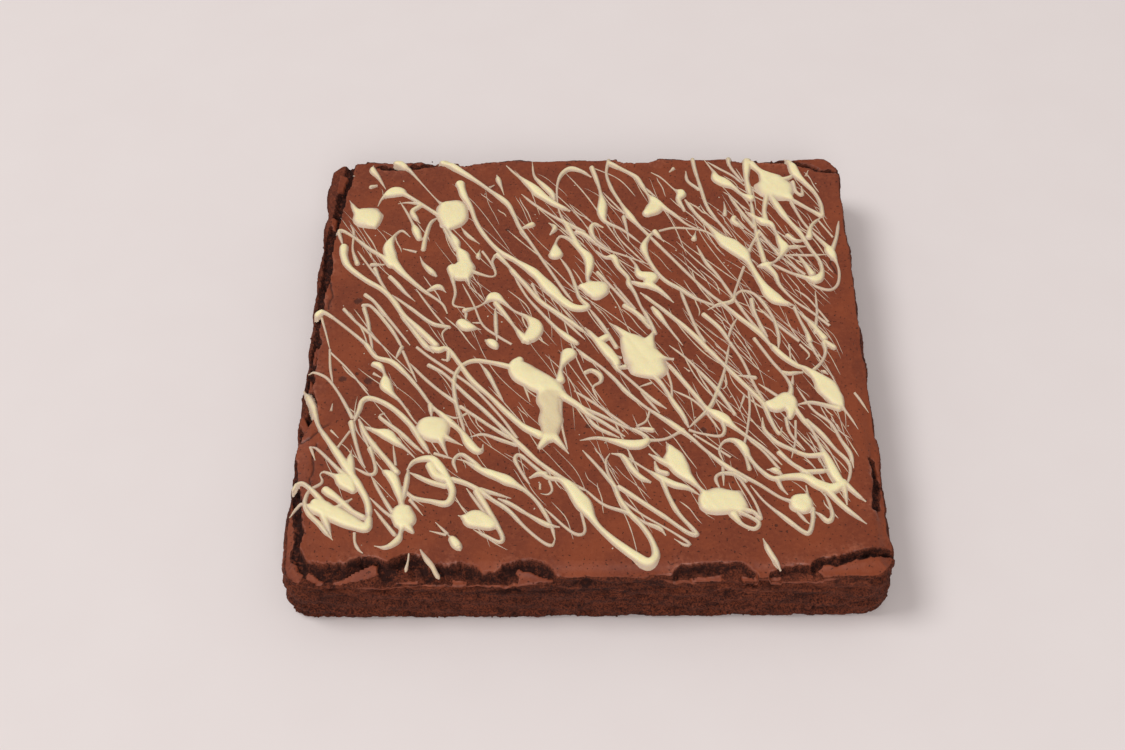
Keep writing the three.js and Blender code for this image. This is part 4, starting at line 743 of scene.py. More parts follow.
# %% Fine flows: x, y and width in mm at each station
FINE_FLOWS = [
    [(-85.5, 87.2, 2), (-83, 88, 2)],
    [(-50.5, 40.5, 5), (-50.5, 36, 1.8), (-49, 28, 1.3), (-49.5, 21.5, 1), (-45, 20, 1.2)],
    [(-56.5, 66.5, 1.2), (-53.5, 59.5, 1.6), (-50, 51, 1.5)],
    [(-33.6, 19.5, 1.4), (-33.2, 12, 1.8), (-32.5, 3, 1.2)],
    [(-57.5, 69.5, 1.6), (-60.5, 66, 1.6), (-62, 58, 1.8), (-62.5, 51.5, 2)],
    [(-70.5, 52, 1.1), (-65, 50, 1.2)],
    [(-92, 65.5, 1), (-90.3, 61, 1.2), (-90, 52, 1), (-87.5, 44, 2)],
    [(-94, 54, 1.4), (-96, 62, 1.6), (-91, 59.5, 1.4), (-84, 52.5, 1.8), (-78, 47.5, 2.2),
     (-74, 43.5, 4)],
    [(-59.5, 29, 2), (-55.5, 31, 2.6), (-52.5, 28, 0.8)],
    [(-88, 51, 0.9), (-82, 41, 1), (-77.5, 34, 1)],
    [(-82, 43.2, 1.8), (-77, 43.4, 1.6)],
    [(-80.5, 41, 2), (-78, 34.5, 1.4), (-74, 27, 1)],
    [(-74.3, 36.5, 2), (-71.5, 33, 2), (-68, 28, 1.4), (-64, 23.5, 0.7)],
    [(-83.5, 21.5, 1.6), (-80, 20.5, 1.5), (-72, 9, 1.6), (-67, -1, 1.2)],
    [(-83, 20, 1.8), (-81, 13, 1.6), (-79.5, 5, 1.2), (-78, -2, 1)],
    [(-90.5, 19.5, 1.6), (-86, 13.5, 1.2), (-80, 7, 1.4), (-74.5, 0.5, 1.2)],
    [(-98.5, 15, 1), (-96, 6.5, 0.8), (-94, -1, 0.6)],
    [(-24.5, 62.5, 2), (-20.5, 64.5, 2.6)],
    [(-38, 86.4, 1.4), (-36, 88, 1)],
    [(-25, 82.5, 0.8), (-20, 76.5, 1.2), (-12, 69, 1.2), (-7, 65, 2), (0, 60, 1.4)],
    [(-48.5, 64, 0.6), (-45.5, 59, 1.8), (-41, 54.5, 0.8)],
    [(-40.5, 51, 0.8), (-41, 47.5, 2.4), (-40.5, 45.5, 1.4)],
    [(-39.5, 50, 1.2), (-36.5, 44.5, 1), (-34, 38, 1), (-36, 36.2, 0.9), (-43, 39, 1.8)],
    [(-34.5, 47.5, 1.6), (-35.5, 44, 1.2), (-33.8, 39, 1)],
    [(-33.5, 48, 2.4), (-29, 41.5, 1.4), (-27, 38, 2.4), (-22.5, 31.5, 1.8), (-17, 23, 2), (-11, 17, 2),
     (-5, 11.5, 2), (1, 5.5, 1.6)],
    [(-27, 36.5, 1.2), (-22, 25.5, 1), (-16.5, 17, 1.4), (-10.5, 8.5, 1.8), (-6, 3.5, 3.2), (-3, 1, 2)],
    [(-20, 32, 1.2), (-16, 22, 1.2), (-8, 13, 1.2), (0, 3, 1)],
    [(-14, 65.5, 1), (-11.5, 62.5, 2.2), (-13.5, 58.5, 1.6)],
    [(-44.5, 17, 1.4), (-44.5, 13, 1.2)],
    [(-42, 12.3, 1.2), (-38, 12, 1.2)],
    [(-46.5, 32.5, 0.7), (-42, 22, 0.8), (-38, 11, 1), (-32, 5, 1.2), (-27, 1, 1)],
    [(-37, 3.5, 1.2), (-34, 1.5, 3.6), (-32.5, -1, 2)],
    [(-51, 10, 1), (-53, 7, 0.8), (-52, 3, 0.8)],
    [(-69.5, 17, 1.6), (-63.5, 8, 2), (-59, 1, 2.2), (-55.5, -3, 1.4)],
    [(-64, 30, 0.8), (-57, 18, 0.8), (-51, 9, 1)],
    [(-73, 27, 1), (-65, 19.5, 1.4), (-57, 12, 1.8), (-50.5, 10, 1.4)],
    [(22.5, 87, 1.2), (28.5, 80, 1.2)],
    [(41, 95, 1.2), (41.5, 89, 1.4), (45.5, 84, 1.4)],
    [(36, 96.5, 2), (34.3, 94.5, 1.6)],
    [(58.5, 101.5, 2.2), (59, 97.5, 1.4), (63.5, 88, 1.2)],
    [(50, 100, 1), (59.5, 92, 1), (64, 86, 0.8)],
    [(83.5, 88, 2), (84.3, 82.5, 1.6), (86.6, 80.3, 1.6), (86.8, 85.5, 1.4)],
    [(89, 91.5, 1.4), (90.3, 95, 0.8)],
    [(83, 77, 1.8), (88, 72.5, 1.6), (93, 68, 2.2)],
    [(99.6, 65, 1.4), (97.8, 56, 1.4), (95.5, 49, 2)],
    [(91.5, 66, 0.8), (96.5, 56, 0.9)],
    [(93, 67.5, 1.4), (88.7, 62.5, 1.6), (87.2, 56, 2.8)],
    [(66, 77.5, 1.6), (66.5, 68, 1.6), (67, 58, 1.6), (68, 50, 2.2), (69, 43, 2.4)],
    [(72.5, 80, 2.4), (71, 72, 2), (71, 66, 3)],
    [(68, 59, 2), (65, 53, 1.4), (63.5, 49, 1.6)],
    [(57.2, 81, 1.4), (61, 72.5, 1.4), (66, 62.5, 1.8)],
    [(63.5, 71, 1.6), (67, 67.5, 2.2), (70, 65, 3)],
    [(68, 60, 1.4), (72, 52, 1.3), (74.5, 47, 1.4)],
    [(78.5, 50.5, 1.8), (85.5, 51, 1.6)],
    [(77.5, 46.5, 1), (86, 46, 1.2), (93, 46.5, 1)],
    [(76.5, 44, 1.2), (84, 35.5, 1.4)],
    [(81.5, 47.5, 1.2), (84.5, 41, 1.8), (86.5, 36, 3)],
    [(55.3, 77, 0.6), (55.6, 72.5, 1.4), (55.3, 69.5, 1.8)],
    [(27.5, 60, 2.4), (29, 57.5, 1.8), (31, 54.5, 0.8)],
    [(29, 60.5, 1), (35.5, 62.3, 1), (46, 60.8, 1), (51, 57, 1.2)],
    [(43.5, 60.5, 0.8), (42.6, 56, 2.2)],
    [(7.5, 62.5, 1.6), (3.8, 64.3, 2), (2.6, 61, 2.2), (4.5, 55.5, 1.4), (10, 49.5, 1)],
    [(-3, 60, 2), (0, 58.5, 2.2), (5, 53, 1.4), (9.5, 49.5, 1.2), (16, 46.5, 0.8), (25, 42, 0.7)],
    [(5, 37.5, 1.6), (10.5, 29.5, 1.2), (17, 19.5, 1.4), (24, 9, 1.6)],
    [(11, 31.5, 1), (16, 23, 1.2), (19, 18, 1.2)],
    [(15, 20, 2), (19, 16.5, 2), (24, 11, 1.8)],
    [(21, 27, 1.4), (28.5, 19, 1.6), (36, 10.5, 2), (41, 4, 2.4), (45, -2, 2)],
    [(36, 29, 1.4), (38.5, 19, 1.4), (41.5, 8, 1.4), (44, 2, 1.6)],
    [(43.5, 52.5, 1), (46.5, 43.5, 1.7), (50.5, 36.5, 1.2), (55, 26.5, 1.4), (60, 15.5, 1.4),
     (65.5, 5, 1.4)],
    [(61, 40.5, 1.2), (57, 28, 1.1), (55.5, 22.5, 2), (50, 20.5, 1.6), (46, 18, 1)],
    [(55.5, 23, 1.2), (58.5, 27.3, 1.2), (62.5, 27, 1.2), (66, 23, 1.4), (70, 14, 1.4), (71.5, 5, 1.4),
     (71, -2, 1.2)],
    [(65, 19, 1), (72, 9.5, 1.2), (79, 1.5, 1.4)],
    [(79.5, 17, 1.4), (84.5, 9.5, 2), (88, 3, 3)],
    [(87, 27, 0.8), (86.7, 16, 1.2), (85, 6, 1.6)],
    [(79.5, 28, 0.7), (83.5, 24, 0.9), (87, 18, 0.9), (90.5, 11, 1)],
    [(44.5, 15.5, 2), (50, 8.5, 1.8), (54, 0, 1.4)],
    [(57, 14, 1), (54.5, 9, 1.2), (52.5, 2, 1)],
    [(1.5, 19, 1.2), (7, 9, 1.6), (11.5, -1, 2)],
    [(0.5, 68.5, 1.2), (2.5, 66, 1)],
    [(7.5, 83, 0.7), (16, 70, 0.9)],
    [(15.5, 68.5, 1.6), (16.5, 62, 1.2), (17.3, 55, 0.8)],
    [(-82, -49, 0.8), (-82, -54, 2.6), (-81, -60, 3)],
    [(-97, -47.5, 1.4), (-94, -48.5, 1.2), (-86.5, -57, 1.6), (-83, -61, 3)],
    [(-96.5, -47.5, 1.2), (-94.3, -53.5, 0.8)],
    [(-101, -64.5, 2), (-98, -63.5, 1.6), (-94.5, -66.5, 1.8), (-89.5, -72.5, 2.2)],
    [(-78, -85, 1.2), (-77.5, -89, 1), (-76, -92, 1.5), (-74.5, -93.5, 1.2)],
    [(-101.5, -75.5, 1), (-99.5, -73.5, 1.2), (-96.5, -72.7, 1.2)],
    [(-80.5, -35, 2), (-77.5, -42, 2), (-73.5, -48, 2.2), (-69, -54, 2), (-65.5, -59, 2.4)],
    [(-83, -36.5, 2.4), (-81.5, -43, 1.6), (-78.5, -53, 1.3), (-76.5, -57, 1.2)],
    [(-101, -11.5, 1.2), (-97, -13, 1.2), (-93, -16, 1.2), (-88, -24, 1.2), (-83, -34, 1.6)],
    [(-94, -1, 1), (-93, -10, 1), (-91.3, -18, 0.8)],
    [(-94, -2, 0.9), (-86, -11.5, 0.8), (-77.5, -24, 0.8)],
    [(-80, -38, 1.4), (-76, -48, 1.4)],
    [(-74, -61, 1.2), (-70.5, -68, 1.4), (-66, -76, 1.8)],
    [(-77, -13, 1.4), (-74, -15, 1.4)],
    [(-80.5, 1, 2), (-76.5, -5, 1.8), (-70.5, -7.5, 2.4), (-65, -13.5, 2), (-60, -20.5, 1.6),
     (-55, -28.5, 1.4), (-51, -33, 2)],
    [(-67.5, 0, 1.6), (-69.5, -6, 1.6)],
    [(-67, -2, 1.2), (-61, -17, 1)],
    [(-55.5, -28, 2), (-54.7, -34, 1.6)],
    [(-67.5, -47, 1), (-66, -56, 1)],
    [(-61, -59, 1.4), (-54, -63, 2.2), (-48.5, -65, 2.4)],
    [(-72, -75, 1.2), (-68.5, -80, 1.4), (-64.5, -85.5, 1.8)],
    [(-74, -70, 1), (-69, -75.5, 1.2), (-65.5, -78.5, 1.6)],
    [(-60, -71, 1.6), (-55.3, -77.5, 0.6)],
    [(-46.5, -85.5, 1.2), (-51, -80.3, 0.6)],
    [(-47, -85.8, 1), (-52.8, -84, 0.7)],
    [(-9, -27, 2), (-8.3, -38, 1), (-6.3, -49, 1)],
    [(-26.5, -10.5, 2.4), (-34, -8, 2), (-41, -7, 2), (-45.8, -10.5, 1.8), (-47.5, -17, 1.8),
     (-46.5, -26, 1.6), (-44.5, -34, 1.4), (-42.3, -42, 1.2)],
    [(-50, -2.5, 2), (-50.3, -6.5, 1.6), (-52.5, -6, 1.6)],
    [(-57, -9, 1.8), (-51, -13.5, 1.4), (-44, -22, 1.6), (-36, -31, 1.7), (-29, -39.5, 1.7),
     (-22.5, -47.5, 2.2), (-15.5, -55.5, 1.8), (-6, -63.5, 1.6), (1, -68, 1.2)],
    [(-64, -8, 1), (-59, -14.5, 1.4), (-53, -21, 1.3), (-46.5, -27, 1.6)],
    [(-62, 0, 1.2), (-57, -5, 1.2), (-49, -12, 1.4), (-40, -20.5, 1.2), (-30, -34, 1.2),
     (-24, -44, 1.4)],
    [(-44.5, -29, 1.4), (-34, -38, 1.4), (-24.5, -45.5, 1.5)],
    [(-38, -8.5, 1.2), (-35, -14, 1.8), (-32, -21, 1.4), (-29, -27.5, 1)],
    [(-21.8, -20, 1), (-19.8, -27, 0.8)],
    [(-50, -32.5, 0.9), (-46, -34.3, 0.9), (-42, -32, 1)],
    [(-40.5, -43, 1.2), (-36, -42, 1.2), (-30, -44.5, 1.4), (-24.5, -47, 1.6)],
    [(-44.5, -59, 1.2), (-46, -54, 1.6), (-43.5, -51, 1.6), (-39.5, -54, 1.8), (-37, -57, 2.4)],
    [(-53, -50.5, 1.4), (-46, -53, 1.2)],
    [(-19.5, -61.8, 2), (-16.5, -60, 2), (-14, -60, 2)],
    [(-12.5, -63, 1.2), (-11.5, -67, 1), (-13, -69, 0.9), (-15.5, -68.5, 0.7)],
    [(-37.5, -67.5, 2.4), (-33.5, -75, 2.2), (-30.5, -81, 2), (-28, -87, 1.8), (-29, -89, 1.5),
     (-33.5, -86.5, 1.4), (-38, -83.5, 0.8)],
    [(-41, -66, 1.2), (-36, -74, 1.3), (-31, -82, 1.4)],
    [(-36, -66.5, 1.8), (-31, -68.5, 1.4), (-25.5, -70.5, 0.8)],
    [(-30, -70.5, 1.6), (-25, -73.5, 1.8), (-19, -78, 1.4), (-13, -82, 2), (-8.8, -83, 1.2)],
    [(-14, -75, 0.9), (-6.5, -83.5, 1.1), (-2.5, -86.3, 1.4), (-0.3, -84.5, 1.2), (-1.5, -77, 1.2)],
    [(-15.7, -64.3, 0.9), (-15.7, -66.8, 0.9)],
    [(-90.6, -27.5, 1), (-90.8, -31, 1)],
    [(-83.3, -40.5, 1), (-87, -48, 1)],
    [(-90, -40, 0.8), (-87, -43.5, 0.8)],
    [(0, -13.5, 1.6), (2.5, -12.5, 1.8), (5.5, -15, 2), (5.5, -18, 1.4), (2.8, -20.5, 1),
     (4.6, -26.5, 0.9)],
    [(11.5, -11.5, 1.4), (19, -20.5, 1.4), (24, -26.5, 1.6), (29, -31, 1.2)],
    [(20, -23, 1.1), (26.5, -33, 1.2)],
    [(19, -20.5, 1), (24, -18.5, 1)],
    [(28.8, -9, 1.2), (31, -19, 1), (31, -26, 1.2)],
    [(31.5, -22, 0.9), (40, -28.5, 0.9), (47.5, -41.5, 0.9)],
    [(21, -45.5, 1.6), (28, -45, 1.2), (34.5, -41, 1.4)],
    [(53.5, 1, 1.4), (57.5, -8, 1.2), (61, -20, 1.2), (64, -28, 1.4)],
    [(53, 0, 1.2), (50.5, -13, 1.2), (47, -24, 1.6), (44, -31, 1.6), (36.5, -40, 1.2)],
    [(55, -15, 1.2), (61.5, -16.3, 1.6)],
    [(50.8, -14.5, 1), (50.8, -20, 1), (49.3, -21.8, 1)],
    [(58.8, -21, 1), (58.5, -31, 1), (57, -41, 1), (55.3, -48.5, 1.2)],
    [(76, -21, 0.7), (81, -32, 1), (86.5, -38, 1.3), (89.5, -46, 1.4), (92, -52, 1.8),
     (92.6, -58.5, 0.9)],
    [(75.5, -29.3, 1.2), (80.5, -28.5, 1.5), (86, -30, 1.8), (90, -31.5, 2.6)],
    [(70, -12, 1.6), (73, -14.3, 2), (79, -13.8, 2)],
    [(82.8, 0, 1.8), (84.5, -5, 1.2), (85.8, -8.5, 1.2)],
    [(79, 0, 1), (82, -5, 1), (80.5, -7.5, 0.8)],
    [(75, 0, 0.8), (75, -8, 0.8)],
    [(75.3, -14.5, 1.2), (74.5, -20, 1.4)],
    [(62.5, -19.2, 1), (69, -25.5, 1.4)],
    [(96.5, -24, 1), (98.5, -28, 1.1), (100.7, -32.3, 0.7)],
    [(62.7, -35.5, 1.2), (63, -41, 1.6), (66.5, -46.5, 1.9), (71.5, -50, 1.8), (77, -52.8, 2),
     (82.5, -52.5, 2.4)],
    [(71, -36, 1.6), (72, -43, 1.2), (76.5, -50.5, 1.2)],
    [(74.3, -37, 1), (73.5, -46, 0.9), (71.5, -54, 0.8)],
    [(88.5, -64.5, 2.4), (92, -69.5, 1.8), (95.2, -73.2, 1.6)],
    [(88.5, -67, 2), (88.7, -74.5, 1.2)],
    [(71.5, -77, 1.4), (74, -81, 1.3), (75.5, -82.5, 1)],
    [(77, -76, 1.8), (76.5, -81, 1.6), (75, -85.8, 1.8), (73, -85.8, 1.8), (68, -80.8, 1.8),
     (61, -73.3, 1), (56.5, -66, 0.9)],
    [(77, -77, 1.6), (79, -78.5, 1.6), (81.5, -81.3, 2), (83.3, -79, 1.7), (82.8, -74, 1.2),
     (81.5, -69.5, 1.4)],
    [(65.8, -63, 2.2), (67, -67, 1.6), (69, -70, 1.4)],
    [(75, -60.3, 2), (85, -59.5, 2)],
    [(55, -50.5, 2.4), (55.8, -54, 1.2), (56.6, -58.7, 1.8)],
    [(50, -78.5, 3.2), (52.5, -82.5, 1.6), (56.5, -84.5, 1.7), (58.3, -82, 1.6), (55.5, -79.5, 1.6),
     (52, -77.5, 2)],
    [(52, -76.3, 2.4), (56.5, -77.3, 1.8), (59, -80, 1.5), (57.5, -73, 1), (53, -63, 1.2)],
    [(46, -67.5, 1.4), (44.7, -63, 1.4), (46.5, -60.8, 1.4), (51, -61, 1.6), (55, -64, 1.4)],
    [(47.5, -58, 1.2), (47.3, -66, 1)],
    [(9, -51, 1.4), (13, -52.5, 2), (16, -58, 2.4), (19, -62, 2.4), (22.5, -64.3, 1.8)],
    [(24, -55, 1.6), (25, -59, 1.8), (28, -60.5, 2)],
    [(26.5, -64, 2), (28.5, -71, 1.8), (31.5, -78, 1.8), (36, -84.5, 1.6), (37, -86.8, 1.9),
     (34, -85.8, 1.6), (27, -79.5, 1.8), (19.5, -73, 1.8), (11.5, -66, 2)],
    [(11, -70.5, 1), (19, -78, 0.9), (29, -85.5, 0.9), (34.5, -90.3, 1.4), (33, -91, 1.3),
     (29.5, -88.3, 0.7)],
    [(-1, -49.5, 1.2), (5, -58, 1.3), (10, -66, 1.8)],
    [(-4, -22, 1.2), (5, -29.5, 1.2), (16.5, -40.5, 1.4)],
    [(0, -33.5, 1.6), (4.3, -39.3, 1.6), (12, -44, 1.2)],
    [(17.5, -39.7, 1.6), (23.5, -40.8, 2.2)],
    [(23, -31.5, 1), (21.5, -36.5, 1), (18, -39, 1)],
    [(38, -43, 0.9), (50.5, -53.5, 0.9)],
    [(56, -44, 1.2), (62, -51, 1.1), (67, -59, 1.2)],
    [(57, -25, 1), (55, -31.5, 0.7)],
    [(36, -10.8, 0.8), (38, -13, 1)],
    [(59.2, -88.5, 1), (61, -94, 2.1), (64.3, -100.5, 1.5)],
    [(-42, -92.2, 1.6), (-43.3, -90, 3.2), (-44.9, -87.6, 2.6)],
    [(-61.5, -81, 3), (-59.8, -83, 2.8), (-58.4, -84.6, 2.2)],
    [(-92.3, -72.5, 4), (-89, -74.3, 4.6), (-86, -76.5, 3)],
    [(-89.3, -66.8, 3), (-87.3, -68.6, 3.2), (-84.5, -71, 2.6), (-80, -75.5, 2.2)],
    [(-80, -70.5, 1.6), (-84.5, -74.2, 2), (-88.5, -76.5, 2.4)],
    [(-96, -64.5, 1.8), (-91.5, -70, 2.2), (-88, -75, 2.6)],
    [(-67, -78, 1.4), (-64.5, -78.4, 2.6), (-62.5, -78, 4)],
    [(-61, -75, 3.6), (-61.6, -78, 5)],
    [(9, -5.5, 2.2), (13.5, -6.3, 2)],
    [(10.8, -11.8, 1.8), (14.5, -10.8, 2.2)],
]
print("fine flows:", len(FINE_FLOWS))

# %% [markdown]
# A flow is known at a few stations, but it has to bend smoothly between them. A Catmull-Rom curve passes
# through every station, which a Bezier with automatic handles does too, but this one can also carry the
# width along. It is then cut into even steps.

# %% Curves through the stations
CURVE_STEP = 0.7
KNOT_STEPS = 16


def smooth_path(stations, step):
    """Evenly spaced rows on a Catmull-Rom curve through a few stations."""
    chosen = np.array(stations, float)
    before = 2 * chosen[0] - chosen[1]
    after = 2 * chosen[-1] - chosen[-2]
    knots = np.concatenate([[before], chosen, [after]])
    places = []
    for a, b, c, d in zip(knots, knots[1:], knots[2:], knots[3:]):
        t = np.linspace(0, 1, KNOT_STEPS, endpoint=False)[:, None]
        bend = (2 * a - 5 * b + 4 * c - d) * t**2 + (3 * b - a - 3 * c + d) * t**3
        places.append(b + 0.5 * ((c - a) * t + bend))
    places = np.concatenate([*places, chosen[-1:]])
    reach = np.concatenate([[0], np.cumsum(np.hypot(*np.diff(places[:, :2], axis=0).T))])
    count = max(2, int(round(reach[-1] / step)) + 1)
    wanted = np.linspace(0, reach[-1], count)
    return np.stack([np.interp(wanted, reach, column) for column in places.T], axis=1)


print("rows on the first flow:", len(smooth_path(BROAD_FLOWS[0], CURVE_STEP)))

# %% [markdown]
# The chocolate stands over the crust with a round edge, and where flows cross they melt together.
# Separate tubes would show every crossing. So the top of the pour is worked out as one height over a
# fine grid: each flow adds its own rounded profile, and a soft maximum melts it into what is there.
# Where the height falls under the crust the mesh dips out of sight, so the edge that shows is a clean
# curve. Stretches too thin for the grid are kept apart and become threads. So do the drops that hang
# over the torn rim, where the buried side of the grid would show.

# %% Melt the flows into one height over a grid
GRID_STEP = 0.36
GRID_WIDTH = 1.5
THREAD_WIDTH = 1.9
POUR_MARGIN = 1.2
POUR = 1.4
POUR_EDGE = 0.45
POUR_SLOPE = 0.5
SUNK = 0.8
MELT = 0.45
THINNEST = 0.3
FULLER = 1.04
UNEVEN_WIDTH = 0.1
RUN_OUT = 4
RUN_OUT_SHARE = 0.6
POOL_SPREAD = 0.12
# Drops over the torn rim: x, y and width in mm at each station
HANGING_FLOWS = [
    [(-55.4, -91.8, 0.5), (-54.3, -93.9, 1.3), (-52.6, -96.7, 2.1), (-50.7, -99, 1.8),
     (-49.2, -100.8, 1.8), (-48.8, -101.3, 0.6)],
    [(-59.1, -93.5, 0.6), (-59.5, -96, 0.8), (-59.9, -97.8, 1.3), (-60, -98.5, 1.3), (-60.1, -99.1, 0.5)],
]


def pour_height(half_width):
    """A pour stands higher the wider it is, up to the thickest pool."""
    return np.minimum(POUR, POUR_EDGE + POUR_SLOPE * half_width)


def reach_of(width):
    """How far from the middle of a flow its profile can still matter."""
    return 0.75 * width + 1


def natural_width(x, y, width):
    """Uneven along the way, running out at thin ends and a little fuller in pools."""
    width = np.maximum(width, THINNEST) * (FULLER + UNEVEN_WIDTH * noise(x, y, 0.0, 5.0, 52))
    reach = np.arange(len(x)) * CURVE_STEP
    beads = RUN_OUT * (width[[0, -1]] > np.median(width))
    from_end = np.minimum(reach + beads[0], reach[::-1] + beads[1])
    width = width * (1 - RUN_OUT_SHARE * smooth(RUN_OUT, 0, from_end) * smooth(3, 1.6, width))
    return width * (1 + POOL_SPREAD * smooth(3.5, 7, width))


class Pour:
    """The height of the poured chocolate over the crust, on a square grid."""

    def __init__(self):
        self.axis = np.arange(-HALF + POUR_MARGIN, HALF - POUR_MARGIN, GRID_STEP)
        self.height = np.full((len(self.axis), len(self.axis)), -SUNK)
        self.threads = []

    def window(self, low, high):
        """The part of the grid between two corners, and its coordinates."""
        spans = tuple(slice(*np.searchsorted(self.axis, (low[k], high[k]))) for k in (1, 0))
        grid_y, grid_x = np.meshgrid(self.axis[spans[0]], self.axis[spans[1]], indexing="ij")
        return spans, grid_x, grid_y

    def melt(self, spans, height):
        """A soft maximum of what is there and what is poured on it."""
        there = self.height[spans]
        near = np.maximum(MELT - np.abs(there - height), 0) / MELT
        near = np.where(np.minimum(there, height) > -0.6 * SUNK, near, 0)
        self.height[spans] = np.maximum(there, height) + near * near * MELT / 4

    def add_flow(self, stations):
        """Pours one flow: works out its profile over the grid and melts it in."""
        x, y, width = smooth_path(stations, CURVE_STEP).T
        width = natural_width(x, y, width)
        self.keep_thin_stretches(x, y, width)
        if width.max() < GRID_WIDTH:
            return
        places = np.stack([x, y], axis=1)
        reach = reach_of(width.max())
        spans, gx, gy = self.window(places.min(axis=0) - reach, places.max(axis=0) + reach)
        height = np.full(gx.shape, -SUNK)
        uneven = noise(gx, gy, 0.0, 4.5, 51)
        for a, b, wide, next_wide in zip(places, places[1:], width, width[1:]):
            if max(wide, next_wide) < GRID_WIDTH:
                continue
            near = reach_of(max(wide, next_wide))
            low, high = np.minimum(a, b) - near, np.maximum(a, b) + near
            part = tuple(slice(*np.searchsorted(axis, (low[k], high[k])))
                         for k, axis in ((1, gy[:, 0]), (0, gx[0])))
            px, py = gx[part], gy[part]
            d = b - a
            along = np.clip(((px - a[0]) * d[0] + (py - a[1]) * d[1]) / (d @ d), 0, 1)
            away = np.hypot(px - a[0] - along * d[0], py - a[1] - along * d[1])
            half = (wide + (next_wide - wide) * along) / 2
            share = away / half * (1 + (0.05 + 0.04 * np.clip(half - 1, 0, 3)) * uneven[part])
            blunt = np.clip(1.6 + 0.8 * half, 2, 5)
            profile = np.maximum(pour_height(half) * (1 - share**blunt), -SUNK)
            height[part] = np.maximum(height[part], profile)
        self.melt(spans, height)

    def keep_thin_stretches(self, x, y, width):
        """Sets aside the runs of a flow that are too thin for the grid."""
        thin = width < THREAD_WIDTH
        start = 0
        while start < len(thin):
            stop = start
            while stop < len(thin) and thin[stop] == thin[start]:
                stop += 1
            first, last = max(start - 1, 0), min(stop + 1, len(thin))
            if thin[start] and last - first > 2:
                self.threads.append((x[first:last], y[first:last], width[first:last] / 2))
            start = stop


pour = Pour()
for flow in BROAD_FLOWS + FINE_FLOWS:
    pour.add_flow(flow)
for flow in HANGING_FLOWS:
    x, y, width = smooth_path(flow, CURVE_STEP).T
    pour.threads.append((x, y, width / 2))
print("share of the top that is poured over:", round(float((pour.height > 0).mean()), 3))
print("thin stretches kept for threads:", len(pour.threads))

# %% [markdown]
# A pour doesn't follow every grain of the crust. It lies on the high places and sags a little over a
# crack. A cloth simulation would find that too, but blurring is quicker and gives the same answer every
# time: the crust is filled up to a blurred level, and the highest places near each cell carry the pour.

# %% Where the pour comes to rest
BRIDGED = 6
SAG = 0.6
OVERHANG = 2


def pad_along(values, cells, axis):
    """Repeats the edge of a grid some cells outwards along one axis."""
    return np.pad(values, [(cells, cells) if k == axis else (0, 0) for k in (0, 1)], "edge")


def box_blur(values, cells):
    """Averages over a square of cells, along one axis and then the other."""
    for axis in (0, 1):
        total = np.cumsum(pad_along(values, cells, axis), axis)
        low = np.take(total, range(0, values.shape[axis]), axis)
        high = np.take(total, range(2 * cells, 2 * cells + values.shape[axis]), axis)
        values = (high - low) / (2 * cells)
    return values


def widen(values, cells):
    """The highest value within some cells, along one axis and then the other."""
    for axis in (0, 1):
        count = values.shape[axis]
        padded = pad_along(values, cells, axis)
        moved = [np.take(padded, range(shift, shift + count), axis) for shift in range(2 * cells + 1)]
        values = np.max(moved, axis=0)
    return values


def settle(axis):
    """Height on which a pour comes to rest: the crust, with cracks partly bridged over."""
    gx, gy = np.meshgrid(axis, axis)
    height = crust_shape(gx, gy)[0]
    level = CRUST + swell(gx, gy) - edge_drop(gx, gy)
    bridge = level - SAG * box_blur(box_blur(level - height, BRIDGED), BRIDGED)
    return box_blur(widen(np.maximum(height, bridge), OVERHANG), OVERHANG)


RESTING = settle(pour.axis)


def resting_height(x, y):
    """The resting height at any places, from the nearest cells of the grid."""
    column, row = (
        np.clip(np.rint((value - pour.axis[0]) / GRID_STEP).astype(int), 0, len(pour.axis) - 1)
        for value in (x, y)
    )
    return RESTING[row, column]


print("resting height in mm:", round(float(RESTING.min()), 2), "to", round(float(RESTING.max()), 2))

# %% [markdown]
# The grid becomes a closed skin: the poured surface above, a flat copy of it buried in the crust below,
# and a short wall round the outside. Faint streaks run with the sweep of the spoon. Decimating the skin
# takes triangles from the buried side and the calm middles of the pools, and leaves the edges alone.

# %% Build the poured mesh
SWEEP_ANGLE = -59
STREAK_HEIGHT = 0.11
STREAK_STRETCH = 0.12
BELOW_SUNK = 0.2
ALMOST_NOTHING = 1e-6
HIGHEST = high_corner.z / MM - 0.03
POUR_LIMIT = 190000


